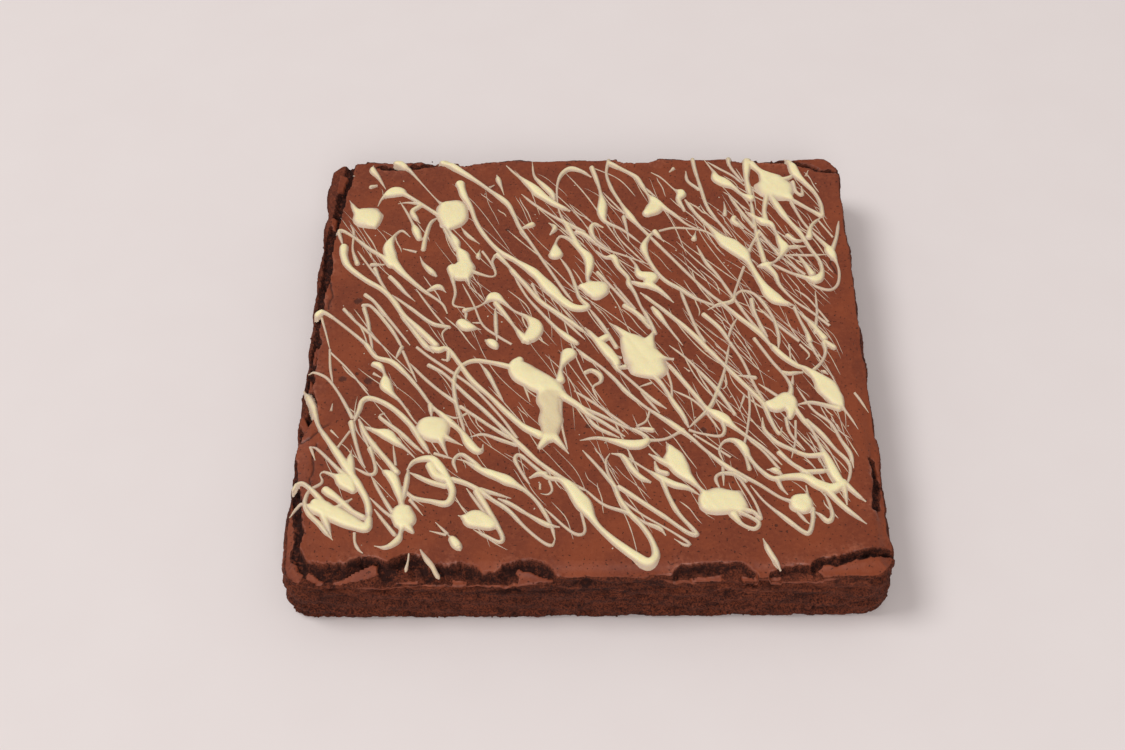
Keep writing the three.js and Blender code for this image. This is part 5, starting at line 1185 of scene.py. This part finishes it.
def make_pour(pour):
    height = pour.height
    gy, gx = np.meshgrid(pour.axis, pour.axis, indexing="ij")
    sweep = math.radians(-SWEEP_ANGLE)
    across = gx * math.sin(sweep) + gy * math.cos(sweep)
    pattern = noise(across, gx * STREAK_STRETCH, gy * STREAK_STRETCH, 1.5, 53)
    streaks = STREAK_HEIGHT * pattern * smooth(0.7, 1.5, height)
    top = np.minimum(RESTING + height + streaks, HIGHEST)
    above = np.stack([gx, gy, top], axis=-1).reshape(-1, 3)
    below = np.stack([gx, gy, RESTING - SUNK - BELOW_SUNK], axis=-1).reshape(-1, 3)
    shown = height > -SUNK + ALMOST_NOTHING
    cell = shown[:-1, :-1] | shown[1:, :-1] | shown[:-1, 1:] | shown[1:, 1:]
    number = np.arange(height.size).reshape(height.shape)
    corners = [number[:-1, :-1], number[:-1, 1:], number[1:, 1:], number[1:, :-1]]
    lid = np.stack([corner[cell] for corner in corners], axis=1)
    base = lid[:, ::-1] + height.size
    edges = np.concatenate([lid[:, [k, (k + 1) % 4]] for k in range(4)])
    forward = edges[:, 0] * height.size + edges[:, 1]
    backward = edges[:, 1] * height.size + edges[:, 0]
    a, b = edges[~np.isin(forward, backward)].T
    sides = np.stack([b, a, a + height.size, b + height.size], axis=1)
    used, faces = np.unique(np.concatenate([lid, base, sides]), return_inverse=True)
    points = np.concatenate([above, below])[used]
    return mesh_object("poured_chocolate", points, faces.reshape(-1, 4).tolist())


def lighten(made, most):
    """Thins a mesh to a number of triangles."""
    triangles = triangles_of(made)
    if triangles > most:
        thin = made.modifiers.new("thin", "DECIMATE")
        thin.ratio = most / triangles
        graph = bpy.context.evaluated_depsgraph_get()
        mesh = bpy.data.meshes.new_from_object(made.evaluated_get(graph))
        made.modifiers.clear()
        made.data = mesh
        mesh.shade_smooth()
    return triangles


poured = make_pour(pour)
full = lighten(poured, POUR_LIMIT)
print("triangles of the pour:", full, "thinned to", len(poured.data.polygons))

# %% [markdown]
# Materials read the place of each point and the measures kept on the mesh. Writing shader sums as plain
# expressions keeps them readable: one small class wraps a socket, and adding or multiplying two of them
# puts the right maths node between them.

# %% A socket that can be used in sums


class Link:
    """A socket that can be used in sums."""

    def __init__(self, board, socket):
        self.board, self.socket = board, socket

    def __add__(self, other):
        return self.board.maths("ADD", self, other)

    __radd__ = __add__

    def __mul__(self, other):
        return self.board.maths("MULTIPLY", self, other)

    __rmul__ = __mul__

    def __sub__(self, other):
        return self.board.maths("SUBTRACT", self, other)

    def __rsub__(self, other):
        return self.board.maths("SUBTRACT", other, self)

    def __truediv__(self, other):
        return self.board.maths("DIVIDE", self, other)

    def __rtruediv__(self, other):
        return self.board.maths("DIVIDE", other, self)

    def __pow__(self, other):
        return self.board.maths("POWER", self, other)


print("sums that a socket understands: + - * / **")

# %% [markdown]
# Every other node comes from one method, which takes its type, its settings and what goes into its
# sockets. The short methods after it are the few nodes that this slab uses again and again.

# %% One way to add any node


class Board:
    """A node tree with one way to add any node."""

    def __init__(self, tree):
        self.tree = tree

    def add(self, kind, settings=None, values=None):
        """Adds a node, sets its settings first, then the values or links of its sockets."""
        node = self.tree.nodes.new(kind)
        for name, value in (settings or {}).items():
            setattr(node, name, value)
        for key, value in (values or {}).items():
            socket = node.inputs[key]
            if isinstance(value, Link):
                self.tree.links.new(value.socket, socket)
            else:
                socket.default_value = value
        return node

    def out(self, node, key=0):
        return Link(self, node.outputs[key])

    def maths(self, operation, *values):
        node = self.add("ShaderNodeMath", {"operation": operation}, dict(enumerate(values)))
        return self.out(node)

    def clamp(self, value):
        node = self.add("ShaderNodeClamp", {}, {"Value": value})
        return self.out(node)

    def ramp(self, value, low, high):
        """0 at low, 1 at high and smooth between."""
        settings = {"interpolation_type": "SMOOTHSTEP"}
        node = self.add("ShaderNodeMapRange", settings, {"Value": value, 1: low, 2: high})
        return self.out(node)

    def blend(self, share, first, second):
        """Mixes two colours."""
        node = self.add("ShaderNodeMix", {"data_type": "RGBA"}, {0: share, 6: first, 7: second})
        return self.out(node, 2)

    def place(self):
        return self.out(self.add("ShaderNodeTexCoord"), "Object")

    def stretched(self, vector, scale):
        node = self.add("ShaderNodeMapping", {}, {"Vector": vector, "Scale": scale})
        return self.out(node)

    def measure(self, name):
        return self.out(self.add("ShaderNodeAttribute", {"attribute_name": name}), "Fac")

    def noise(self, vector, cell, detail=2.0, roughness=0.5):
        """Noise between 0 and 1 with bumps about one cell, in mm, across."""
        values = {"Vector": vector, "Scale": 1 / (cell * MM), "Detail": detail, "Roughness": roughness}
        return self.out(self.add("ShaderNodeTexNoise", {}, values), "Fac")

    def bump(self, height, depth, normal=None):
        """Turns a height between 0 and 1 into a normal, for a relief some mm in depth."""
        values = {"Height": height, "Distance": depth * MM, "Strength": 1.0}
        if normal is not None:
            values["Normal"] = normal
        return self.out(self.add("ShaderNodeBump", {}, values), "Normal")


print("methods of a board:", [name for name in vars(Board) if not name.startswith("_")])

# %% [markdown]
# Colours are easiest to judge as they look on a screen, from 0 to 255. Blender reckons in linear light,
# so one helper turns them round.

# %% Colours and new materials
CURVE_STARTS = 0.04045


def shade(red, green, blue):
    """A colour given as screen values from 0 to 255, as Blender's linear light."""
    parts = []
    for value in (red, green, blue):
        share = value / 255
        parts.append(share / 12.92 if share <= CURVE_STARTS else ((share + 0.055) / 1.055) ** 2.4)
    return (*parts, 1.0)


def new_material(name):
    made = bpy.data.materials.new(name)
    made.use_nodes = True
    board = Board(made.node_tree)
    return made, board, made.node_tree.nodes["Principled BSDF"]


def connect(board, shader, name, value):
    if isinstance(value, Link):
        board.tree.links.new(value.socket, shader.inputs[name])
    else:
        shader.inputs[name].default_value = value


print("red brown in linear light:", [round(v, 3) for v in shade(132, 68, 47)[:3]])

# %% [markdown]
# Crust and crumb are one mesh, so they share one material that mixes two finishes by the measure of
# skin. The crust is reddish brown, satin, faintly mottled and peppered with fine dark specks, and its
# pits are darkened as painted shade. The crumb is darker, matt and full of pores, and it is painted
# darker still in its pores, dents and cracks, as painted shade. The torn margin is paler, because light
# catches its thin dry edge: a painted highlight.

# %% Crust and crumb finish
CRUST_TONE = shade(134, 63, 34)
CRUST_LIGHT = shade(146, 74, 43)
CRUST_DARK = shade(117, 53, 30)
# Painted highlight on the torn margin.
MARGIN_HIGHLIGHT = shade(160, 92, 66)
CRUMB_TONE = shade(99, 46, 28)
CRUMB_LIGHT = shade(132, 66, 42)
CRUMB_DARK = shade(48, 20, 14)
SPECK_TONE = shade(62, 28, 19)
# Pits in the crust, x, y and radius in mm, painted dark as the shade in their hollows.
PITS = [(-88, -15.5, 1.3), (-78.5, -16.5, 1.5), (41.5, -41, 1.2), (1, -38.5, 0.9), (-85.5, 24, 1.4),
        (-83, -13, 0.6), (-91, -11, 0.5), (30, -72, 0.6), (-30, 62, 0.7), (64, -83, 0.5)]


def spots(board, place, pits, ragged=1.4, soft=0.6):
    """1 on small ragged spots at named places of the crust, 0 elsewhere."""
    flat = board.stretched(place, (1, 1, 0))
    uneven = board.noise(place, 1.2, 2) * ragged - 0.5 * ragged
    found = 0.0
    for x, y, radius in pits:
        values = {0: flat, 1: (x * MM, y * MM, 0)}
        gap = board.out(board.add("ShaderNodeVectorMath", {"operation": "DISTANCE"}, values), "Value")
        share = gap / (radius * MM) + uneven
        found = board.maths("MAXIMUM", board.ramp(share, 1 + soft / 2, 1 - soft / 2), found)
    return found


def slab_finish():
    made, board, shader = new_material("crust_and_crumb")
    place = board.place()
    skin = board.ramp(board.measure("skin"), 0.42, 0.58)
    deep = board.measure("deep")
    margin = board.measure("margin")
    height = board.out(board.add("ShaderNodeSeparateXYZ", {}, {"Vector": place}), "Z")
    upper = board.ramp(height, 11 * MM, 16 * MM)
    mottle = board.noise(place, 15, 3)
    grain = board.noise(place, 1.5, 3, 0.6)
    specks = board.clamp(board.ramp(board.noise(place, 1.0, 1), 0.68, 0.73) + spots(board, place, PITS))
    crust = board.blend(board.ramp(mottle, 0.35, 0.7), CRUST_DARK, CRUST_TONE)
    crust = board.blend(board.ramp(grain, 0.4, 0.75) * 0.45, crust, CRUST_LIGHT)
    # Specks are the crust's own dark flecks; the pits among them are painted shade.
    crust = board.blend(specks * 0.75, crust, SPECK_TONE)
    # A paler tone at the torn margin: a painted highlight where light catches the thin edge.
    crust = board.blend(board.clamp(margin * board.ramp(grain, 0.35, 0.7)) * 0.6, crust, MARGIN_HIGHLIGHT)
    # In the cracks the crust side turns dark: painted shade by depth.
    crust = board.blend(deep * 0.9, crust, CRUMB_DARK)
    streaks = board.noise(board.stretched(place, (0.12, 0.12, 1.0)), 1.3, 4, 0.6)
    grit = board.noise(place, 0.6, 2, 0.7)
    clumps = board.noise(place, 4.5, 3, 0.6)
    zones = board.noise(board.stretched(place, (0.5, 0.5, 1.0)), 12, 2)
    lumps = board.noise(place, 1.7, 2)
    pores = board.ramp(grit, 0.5, 0.62)
    crumb = board.blend(board.ramp(streaks, 0.46, 0.7) * (0.25 + 0.75 * upper), CRUMB_TONE, CRUMB_LIGHT)
    crumb = board.blend(board.ramp(grit, 0.48, 0.36) * 0.7, crumb, CRUMB_LIGHT)
    crumb = board.blend(board.ramp(clumps, 0.5, 0.66) * 0.45, crumb, CRUMB_DARK)
    crumb = board.blend(board.ramp(zones, 0.5, 0.7) * 0.4, crumb, CRUMB_DARK)
    # Pores and the dark crumb measure darken the crumb: painted shade in pores, dents and cracks, on top of
    # its own darker patches.
    dark = pores * (0.85 - 0.3 * upper) + deep * (0.35 + 0.85 * board.ramp(lumps, 0.7, 0.35))
    crumb = board.blend(board.clamp(dark), crumb, CRUMB_DARK)
    connect(board, shader, "Base Color", board.blend(skin, crumb, crust))
    connect(board, shader, "Roughness", 0.9 - 0.4 * skin - 0.1 * margin)
    connect(board, shader, "Coat Weight", skin * (0.1 + 0.2 * board.clamp(margin)))
    fine = board.noise(place, 0.7, 2)
    relief = skin * (0.2 * fine + 0.3 * grain - 0.8 * specks) + (1 - skin) * (1.6 * grit - 0.7 * pores)
    connect(board, shader, "Normal", board.bump(relief, 0.4))
    shader.inputs["Specular IOR Level"].default_value = 0.24
    shader.inputs["Coat Roughness"].default_value = 0.32
    return made


slab.data.materials.append(slab_finish())
print("slab material:", slab.data.materials[0].name)

# %% [markdown]
# White chocolate is a cream fat with a satin skin. Light enters it a little, which softens its shadows,
# and the colour is fuller where it lies thick and greyer where it thins out over the brown crust.

# %% White chocolate finish
CREAM_THICK = shade(245, 234, 184)
CREAM_THIN = shade(207, 184, 160)
CREAM_SHEER = shade(200, 174, 144)
CREAM_CLOUD = shade(226, 206, 156)
CREAM_SCATTER = (0.0012, 0.0009, 0.0005)
FULL_TONE_POURED = 1.5
FULL_TONE_THREADS = 3.0
# Pools that ran out so thin that the crust shows through: x, y and radius
SHEER = [(-12.5, -27, 4.6), (-12.5, -31, 5), (-12.5, -35, 5), (-12.5, -39, 4.4)]


def white_finish(name, full_at):
    made, board, shader = new_material(name)
    place = board.place()
    thick = board.ramp(board.measure("thickness"), 0.45, full_at)
    cloud = board.noise(place, 5, 2)
    tone = board.blend(thick, CREAM_THIN, CREAM_THICK)
    tone = board.blend(board.ramp(cloud, 0.45, 0.75) * 0.2, tone, CREAM_CLOUD)
    tone = board.blend(spots(board, place, SHEER, 0.2, 0.5) * 0.45, tone, CREAM_SHEER)
    connect(board, shader, "Base Color", tone)
    connect(board, shader, "Roughness", 0.42 + 0.12 * cloud)
    ripple = board.noise(place, 1.8, 2)
    connect(board, shader, "Normal", board.bump(ripple, 0.1))
    shader.inputs["Subsurface Weight"].default_value = 0.25
    shader.inputs["Subsurface Radius"].default_value = CREAM_SCATTER
    shader.inputs["Subsurface Scale"].default_value = 1.0
    return made


def measure_thickness(made):
    """Keeps how far each point stands over the crust, in mm."""
    flat = np.empty(len(made.data.vertices) * 3, np.float32)
    made.data.vertices.foreach_get("co", flat)
    x, y, z = (flat.reshape(-1, 3) / MM).T.astype(float)
    store(made.data, "thickness", z - resting_height(x, y))


measure_thickness(poured)
poured.data.materials.append(white_finish("white_chocolate", FULL_TONE_POURED))
print("pour material:", poured.data.materials[0].name)

# %% [markdown]
# Between the flows lie threads no thicker than a needle, flung from the spoon in the same sweep, so they
# run nearly side by side. Drawing hundreds of them one by one would be tedious and nobody would notice.
# So a loop draws them with a fixed seed, field by field, beside the thin stretches that were set aside.

# %% Draw the threads
THREAD_SEED = 12
ANGLE_SPREAD = 8
LENGTH_SHARES = (0.2, 1.3)
BOW = 0.09
WAVE = 0.25
THINNEST_THREAD = 0.12
THREAD_VARIES = 0.22
CLEAR_OF_EDGE = 5
# Middle, half spread along x and y, how many threads, and their length
THREAD_FIELDS = [
    (-60, 25, 30, 36, 22, 34),
    (-22, 22, 26, 50, 42, 40),
    (30, 25, 34, 50, 64, 44),
    (66, 10, 26, 60, 84, 36),
    (-60, -35, 30, 30, 24, 26),
    (-8, -55, 34, 26, 34, 30),
    (62, -50, 30, 28, 40, 26),
    (-10, 78, 76, 18, 24, 24),
    (78, 66, 18, 28, 44, 22),
]


def add_line(curve, x, y, radii, tapered):
    """One drawn line at the height of the crust. Its tilt carries how much it is tapered."""
    spline = curve.splines.new("POLY")
    spline.points.add(len(x) - 1)
    heights = resting_height(x, y)
    for point, px, py, pz, radius in zip(spline.points, x, y, heights, radii):
        point.co = (px * MM, py * MM, pz * MM, 1)
        point.radius = radius
        point.tilt = tapered


def draw_threads(stretches):
    draws = np.random.default_rng(THREAD_SEED)
    curve = bpy.data.curves.new("threads", "CURVE")
    curve.dimensions = "3D"
    for x, y, half in stretches:
        add_line(curve, x, y, half, 0)
    for x, y, spread_x, spread_y, count, length in THREAD_FIELDS:
        for _ in range(count):
            middle = np.array([x, y]) + draws.uniform(-1, 1, 2) * (spread_x, spread_y)
            angle = math.radians(SWEEP_ANGLE + draws.normal(0, ANGLE_SPREAD))
            reach = length * draws.uniform(*LENGTH_SHARES) / 2
            bow = draws.normal(0, BOW) * reach
            half = THINNEST_THREAD + THREAD_VARIES * draws.uniform() ** 2
            ahead = np.array([math.cos(angle), math.sin(angle)])
            across = np.array([-ahead[1], ahead[0]])
            t = np.linspace(-1, 1, max(6, int(reach)))
            wave = bow * (1 - t * t) + WAVE * np.sin(4 * t + 9 * half * reach)
            px, py = (middle + np.outer(t * reach, ahead) + np.outer(wave, across)).T
            if max(np.abs(px).max(), np.abs(py).max()) < HALF - CLEAR_OF_EDGE:
                add_line(curve, px, py, np.full(len(t), half), 1)
    made = bpy.data.objects.new("threads", curve)
    bpy.context.scene.collection.objects.link(made)
    return made


threads = draw_threads(pour.threads)
print("threads drawn:", len(threads.data.splines))

# %% [markdown]
# Geometry Nodes turn each drawn line into a thread. The line is cut into even steps and swept with a
# small circle, which noise beads and the ends taper, and the result gets its material. The radius and
# the taper travel with the points. The tree reads named sizes, so thicker or more beaded threads are one
# number away.

# %% Turn the drawn lines into threads
BEAD_SIZE = 0.4
TAPER = 0.85
RING_SIDES = 6


def thread_tree(material):
    tree = bpy.data.node_groups.new("thread_maker", "GeometryNodeTree")
    face = tree.interface
    face.new_socket("Geometry", in_out="INPUT", socket_type="NodeSocketGeometry")
    for name, value in (("Step", 0.9 * MM), ("Bead size", 0.45), ("Bead spacing", 5.0 * MM)):
        face.new_socket(name, in_out="INPUT", socket_type="NodeSocketFloat").default_value = value
    face.new_socket("Geometry", in_out="OUTPUT", socket_type="NodeSocketGeometry")
    board = Board(tree)
    given = board.add("NodeGroupInput")
    curve, step, bead_size, bead_spacing = (board.out(given, key) for key in range(4))
    even = board.add(
        "GeometryNodeResampleCurve", {"mode": "LENGTH"}, {"Curve": curve, "Length": step}
    )
    radius = board.out(board.add("GeometryNodeInputRadius"))
    tapered = board.out(board.add("GeometryNodeInputCurveTilt"))
    place = board.out(board.add("GeometryNodeInputPosition"))
    share = board.out(board.add("GeometryNodeSplineParameter"))
    pattern = board.add("ShaderNodeTexNoise", {}, {"Vector": place, "Scale": 1.0 / bead_spacing})
    beads = 1 + bead_size * tapered * (board.out(pattern, "Fac") * 4 - 2)
    taper = 1 - TAPER * tapered * board.maths("ABSOLUTE", share * 2 - 1) ** 4
    ring = board.add("GeometryNodeCurvePrimitiveCircle", {}, {"Resolution": RING_SIDES, "Radius": 1.0 * MM})
    swept = board.add(
        "GeometryNodeCurveToMesh",
        {},
        {
            "Curve": board.out(even),
            "Profile Curve": board.out(ring),
            "Scale": radius * beads * taper,
            "Fill Caps": True,
        },
    )
    smoothed = board.add("GeometryNodeSetShadeSmooth", {}, {"Geometry": board.out(swept)})
    real = board.add("GeometryNodeRealizeInstances", {}, {"Geometry": board.out(smoothed)})
    dressed = board.add(
        "GeometryNodeSetMaterial", {}, {"Geometry": board.out(real), "Material": material}
    )
    board.add("NodeGroupOutput", {}, {"Geometry": board.out(dressed)})
    return tree


def set_input(modifier, name, value):
    """Sets a modifier's input by its socket's identifier."""
    for item in modifier.node_group.interface.items_tree:
        if item.item_type == "SOCKET" and item.in_out == "INPUT" and item.name == name:
            modifier[item.identifier] = value


def grow(source, name, tree, **values):
    """Runs a tree on an object and keeps the result as a plain mesh object."""
    modifier = source.modifiers.new("grow", "NODES")
    modifier.node_group = tree
    for key, value in values.items():
        set_input(modifier, key.replace("_", " ").capitalize(), value)
    graph = bpy.context.evaluated_depsgraph_get()
    mesh = bpy.data.meshes.new_from_object(source.evaluated_get(graph))
    made = bpy.data.objects.new(name, mesh)
    bpy.context.scene.collection.objects.link(made)
    bpy.data.objects.remove(source)
    return made


thin_white = white_finish("thin_white_chocolate", FULL_TONE_THREADS)
fine_threads = grow(threads, "fine_threads", thread_tree(thin_white), bead_size=BEAD_SIZE)
measure_thickness(fine_threads)
print("faces of the threads:", len(fine_threads.data.polygons))

# %% [markdown]
# Last come things too small to draw one by one: crumbs that cling to the wall and lie in the torn rim,
# and flecks of white chocolate that flew off the spoon. First come their places: a quarter of the wall's
# crumbs lie at its foot, and a few flecks have a place of their own.

# %% Places of crumbs and flecks
CRUMB_COUNT = 520
FOOT_PART = 4
RIM_BAND = (1, 6)
BARE_BELOW = 0.3
FLECK_SPREAD = 0.9
FLECK_COUNT = 90
NAMED_FLECKS = [(-81.8, 59.6), (-92.9, 93.9), (53.6, 79.3), (-17.5, -75), (54.6, -85), (66.6, -12.9),
                (70.7, -67.9), (93, 38), (53.6, 43), (55, 41.5), (56, 40), (27, 49)]
CRUMB_REACH = HALF - 0.7
CRUMB_FOOT = 0.5
USUAL_RIM = 24.0


def crumb_places(draws):
    """Places on the wall, at its foot and in the torn rim, where crumbs have stuck."""
    walk = draws.uniform(0, 4, CRUMB_COUNT)
    height = draws.uniform(CRUMB_FOOT, WALL[-1][0], CRUMB_COUNT)
    height[: CRUMB_COUNT // FOOT_PART] = CRUMB_FOOT
    inset = wall_shape(walk, height, np.full(CRUMB_COUNT, USUAL_RIM))[0]
    x, y = plan_point(walk, inset)
    on_wall = np.stack([x, y, height], axis=1)
    x, y = plan_point(draws.uniform(0, 4, 2 * CRUMB_COUNT), draws.uniform(*RIM_BAND, 2 * CRUMB_COUNT))
    height, skin, _, _ = crust_shape(x, y)
    torn = np.stack([x, y, height], axis=1)[skin < BARE_BELOW]
    places = np.concatenate([on_wall, torn])
    places[:, :2] = np.clip(places[:, :2], -CRUMB_REACH, CRUMB_REACH)
    return places


def fleck_places(draws):
    """Named flecks and others strewn over the crust."""
    x, y = draws.uniform(-FLECK_SPREAD, FLECK_SPREAD, (2, FLECK_COUNT)) * HALF
    x, y = np.concatenate([np.array(NAMED_FLECKS).T, [x, y]], axis=1)
    return np.stack([x, y, resting_height(x, y)], axis=1)


strewn = np.random.default_rng(THREAD_SEED + 1)
crumb_spots = crumb_places(strewn)
fleck_spots = fleck_places(strewn)
print("places of crumbs and flecks:", len(crumb_spots), len(fleck_spots))

# %% [markdown]
# Both crumbs and flecks are points with a low, uneven grain set on each, and one tree of nodes makes
# them. Its seed and two sizes are inputs. A grain has few faces, because there are hundreds of them.

# %% Grains on points
GRAIN_TILT = (0.4, 0.4, 3.1)
GRAIN_WIDTH = 0.75
CRUMB_FLATNESS = 0.7
FLECK_FLATNESS = 0.4
CRUMB_SIZES = (0.2, 0.6)
FLECK_SIZES = (0.15, 0.55)


def points_object(name, places):
    mesh = bpy.data.meshes.new(name)
    mesh.from_pydata((places * MM).tolist(), [], [])
    made = bpy.data.objects.new(name, mesh)
    bpy.context.scene.collection.objects.link(made)
    return made


def grain_tree(name, material, flatness):
    tree = bpy.data.node_groups.new(name, "GeometryNodeTree")
    face = tree.interface
    face.new_socket("Geometry", in_out="INPUT", socket_type="NodeSocketGeometry")
    for size in ("Smallest", "Largest"):
        face.new_socket(size, in_out="INPUT", socket_type="NodeSocketFloat").default_value = 0.3 * MM
    face.new_socket("Seed", in_out="INPUT", socket_type="NodeSocketInt").default_value = 1
    face.new_socket("Geometry", in_out="OUTPUT", socket_type="NodeSocketGeometry")
    board = Board(tree)
    given = board.add("NodeGroupInput")
    points, smallest, largest, seed = (board.out(given, key) for key in range(4))
    grain = board.add("GeometryNodeMeshIcoSphere", {}, {"Radius": 1.0, "Subdivisions": 1})
    size = board.add("FunctionNodeRandomValue", {"data_type": "FLOAT"},
                     {2: smallest, 3: largest, "Seed": seed})
    tilt = board.add("FunctionNodeRandomValue", {"data_type": "FLOAT_VECTOR"},
                     {0: tuple(-angle for angle in GRAIN_TILT), 1: GRAIN_TILT, "Seed": seed})
    flat = board.add("ShaderNodeCombineXYZ", {}, {0: 1.0, 1: GRAIN_WIDTH, 2: flatness})
    scaled = board.add("ShaderNodeVectorMath", {"operation": "SCALE"},
                       {0: board.out(flat), "Scale": board.out(size, 1)})
    placed = board.add("GeometryNodeInstanceOnPoints", {}, {
        "Points": points,
        "Instance": board.out(grain),
        "Rotation": board.out(tilt),
        "Scale": board.out(scaled),
    })
    real = board.add("GeometryNodeRealizeInstances", {}, {"Geometry": board.out(placed)})
    dressed = board.add("GeometryNodeSetMaterial", {}, {"Geometry": board.out(real), "Material": material})
    board.add("NodeGroupOutput", {}, {"Geometry": board.out(dressed)})
    return tree


def crumb_finish():
    made, board, shader = new_material("loose_crumb")
    grit = board.noise(board.place(), 1.3, 2, 0.7)
    connect(board, shader, "Base Color", board.blend(board.ramp(grit, 0.3, 0.7), CRUMB_DARK, CRUMB_TONE))
    shader.inputs["Roughness"].default_value = 0.9
    shader.inputs["Specular IOR Level"].default_value = 0.2
    return made


def strew(name, places, tree, sizes, seed):
    """Sets grains between two sizes, in mm, on places."""
    smallest, largest = sizes
    points = points_object(name + "_points", places)
    return grow(points, name, tree, smallest=smallest * MM, largest=largest * MM, seed=seed)


crumb_tree = grain_tree("crumb_maker", crumb_finish(), CRUMB_FLATNESS)
crumbs = strew("crumbs", crumb_spots, crumb_tree, CRUMB_SIZES, 3)
fleck_tree = grain_tree("fleck_maker", thin_white, FLECK_FLATNESS)
flecks = strew("flecks", fleck_spots, fleck_tree, FLECK_SIZES, 5)
measure_thickness(flecks)
flecks.data.shade_smooth()
print("faces of crumbs and flecks:", len(crumbs.data.polygons), len(flecks.data.polygons))

# %% [markdown]
# The slab stands on a plain pale floor, which is stage and not part of it. The floor is wide enough to
# fill every view, and its tone drifts a little, so that it doesn't look like a painted backdrop.

# %% Floor
FLOOR_SIDE = 6.0
FLOOR_DARK = shade(231, 223, 221)
FLOOR_LIGHT = shade(234, 227, 225)


def add_floor():
    side = FLOOR_SIDE / 2 / MM
    corners = [(-side, -side, 0), (side, -side, 0), (side, side, 0), (-side, side, 0)]
    floor = mesh_object("floor", corners, [[0, 1, 2, 3]])
    made, board, shader = new_material("pale_floor")
    faint = board.noise(board.place(), 30, 2)
    connect(board, shader, "Base Color", board.blend(faint, FLOOR_DARK, FLOOR_LIGHT))
    shader.inputs["Roughness"].default_value = 0.8
    shader.inputs["Specular IOR Level"].default_value = 0.2
    floor.data.materials.append(made)
    return floor


floor = add_floor()
print("width of the floor in m:", FLOOR_SIDE)

# %% [markdown]
# The light is that of a bright room. A large soft light far to the left lays a short soft shadow to the
# right. A weaker one in front reaches the side that faces the viewer, and the pale room all round fills
# what is left. Both lights stand far off, so the floor is evenly bright.

# %% Light
# Name, place in m, size in m and power in W
LIGHTS = [
    ("window", (-2.6, 0.3, 3.9), 2.2, 92),
    ("room_in_front", (0.2, -3.4, 2.6), 2.2, 62),
]
WORLD_TONE = shade(232, 224, 222)
WORLD_STRENGTH = 0.52


def add_light(name, place, size, power):
    data = bpy.data.lights.new(name, "AREA")
    data.shape = "DISK"
    data.size = size
    data.energy = power
    light = bpy.data.objects.new(name, data)
    light.location = place
    light.rotation_euler = (-Vector(place)).to_track_quat("-Z", "Y").to_euler()
    bpy.context.scene.collection.objects.link(light)


def add_world(strength):
    world = bpy.data.worlds.new("room")
    world.use_nodes = True
    world.node_tree.nodes["Background"].inputs["Color"].default_value = WORLD_TONE
    world.node_tree.nodes["Background"].inputs["Strength"].default_value = strength
    bpy.context.scene.world = world


for row in LIGHTS:
    add_light(*row)
add_world(WORLD_STRENGTH)
bpy.context.scene.view_settings.view_transform = "Standard"

# %% [markdown]
# Every piece rides the one body and stands in for the plain solid, which is hidden. The dressed slab has
# to stay inside the solid.

# %% Fasten every piece to the solid
for piece in (slab, crumbs, poured, fine_threads, flecks):
    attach(piece, "root")
    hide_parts("brownie")
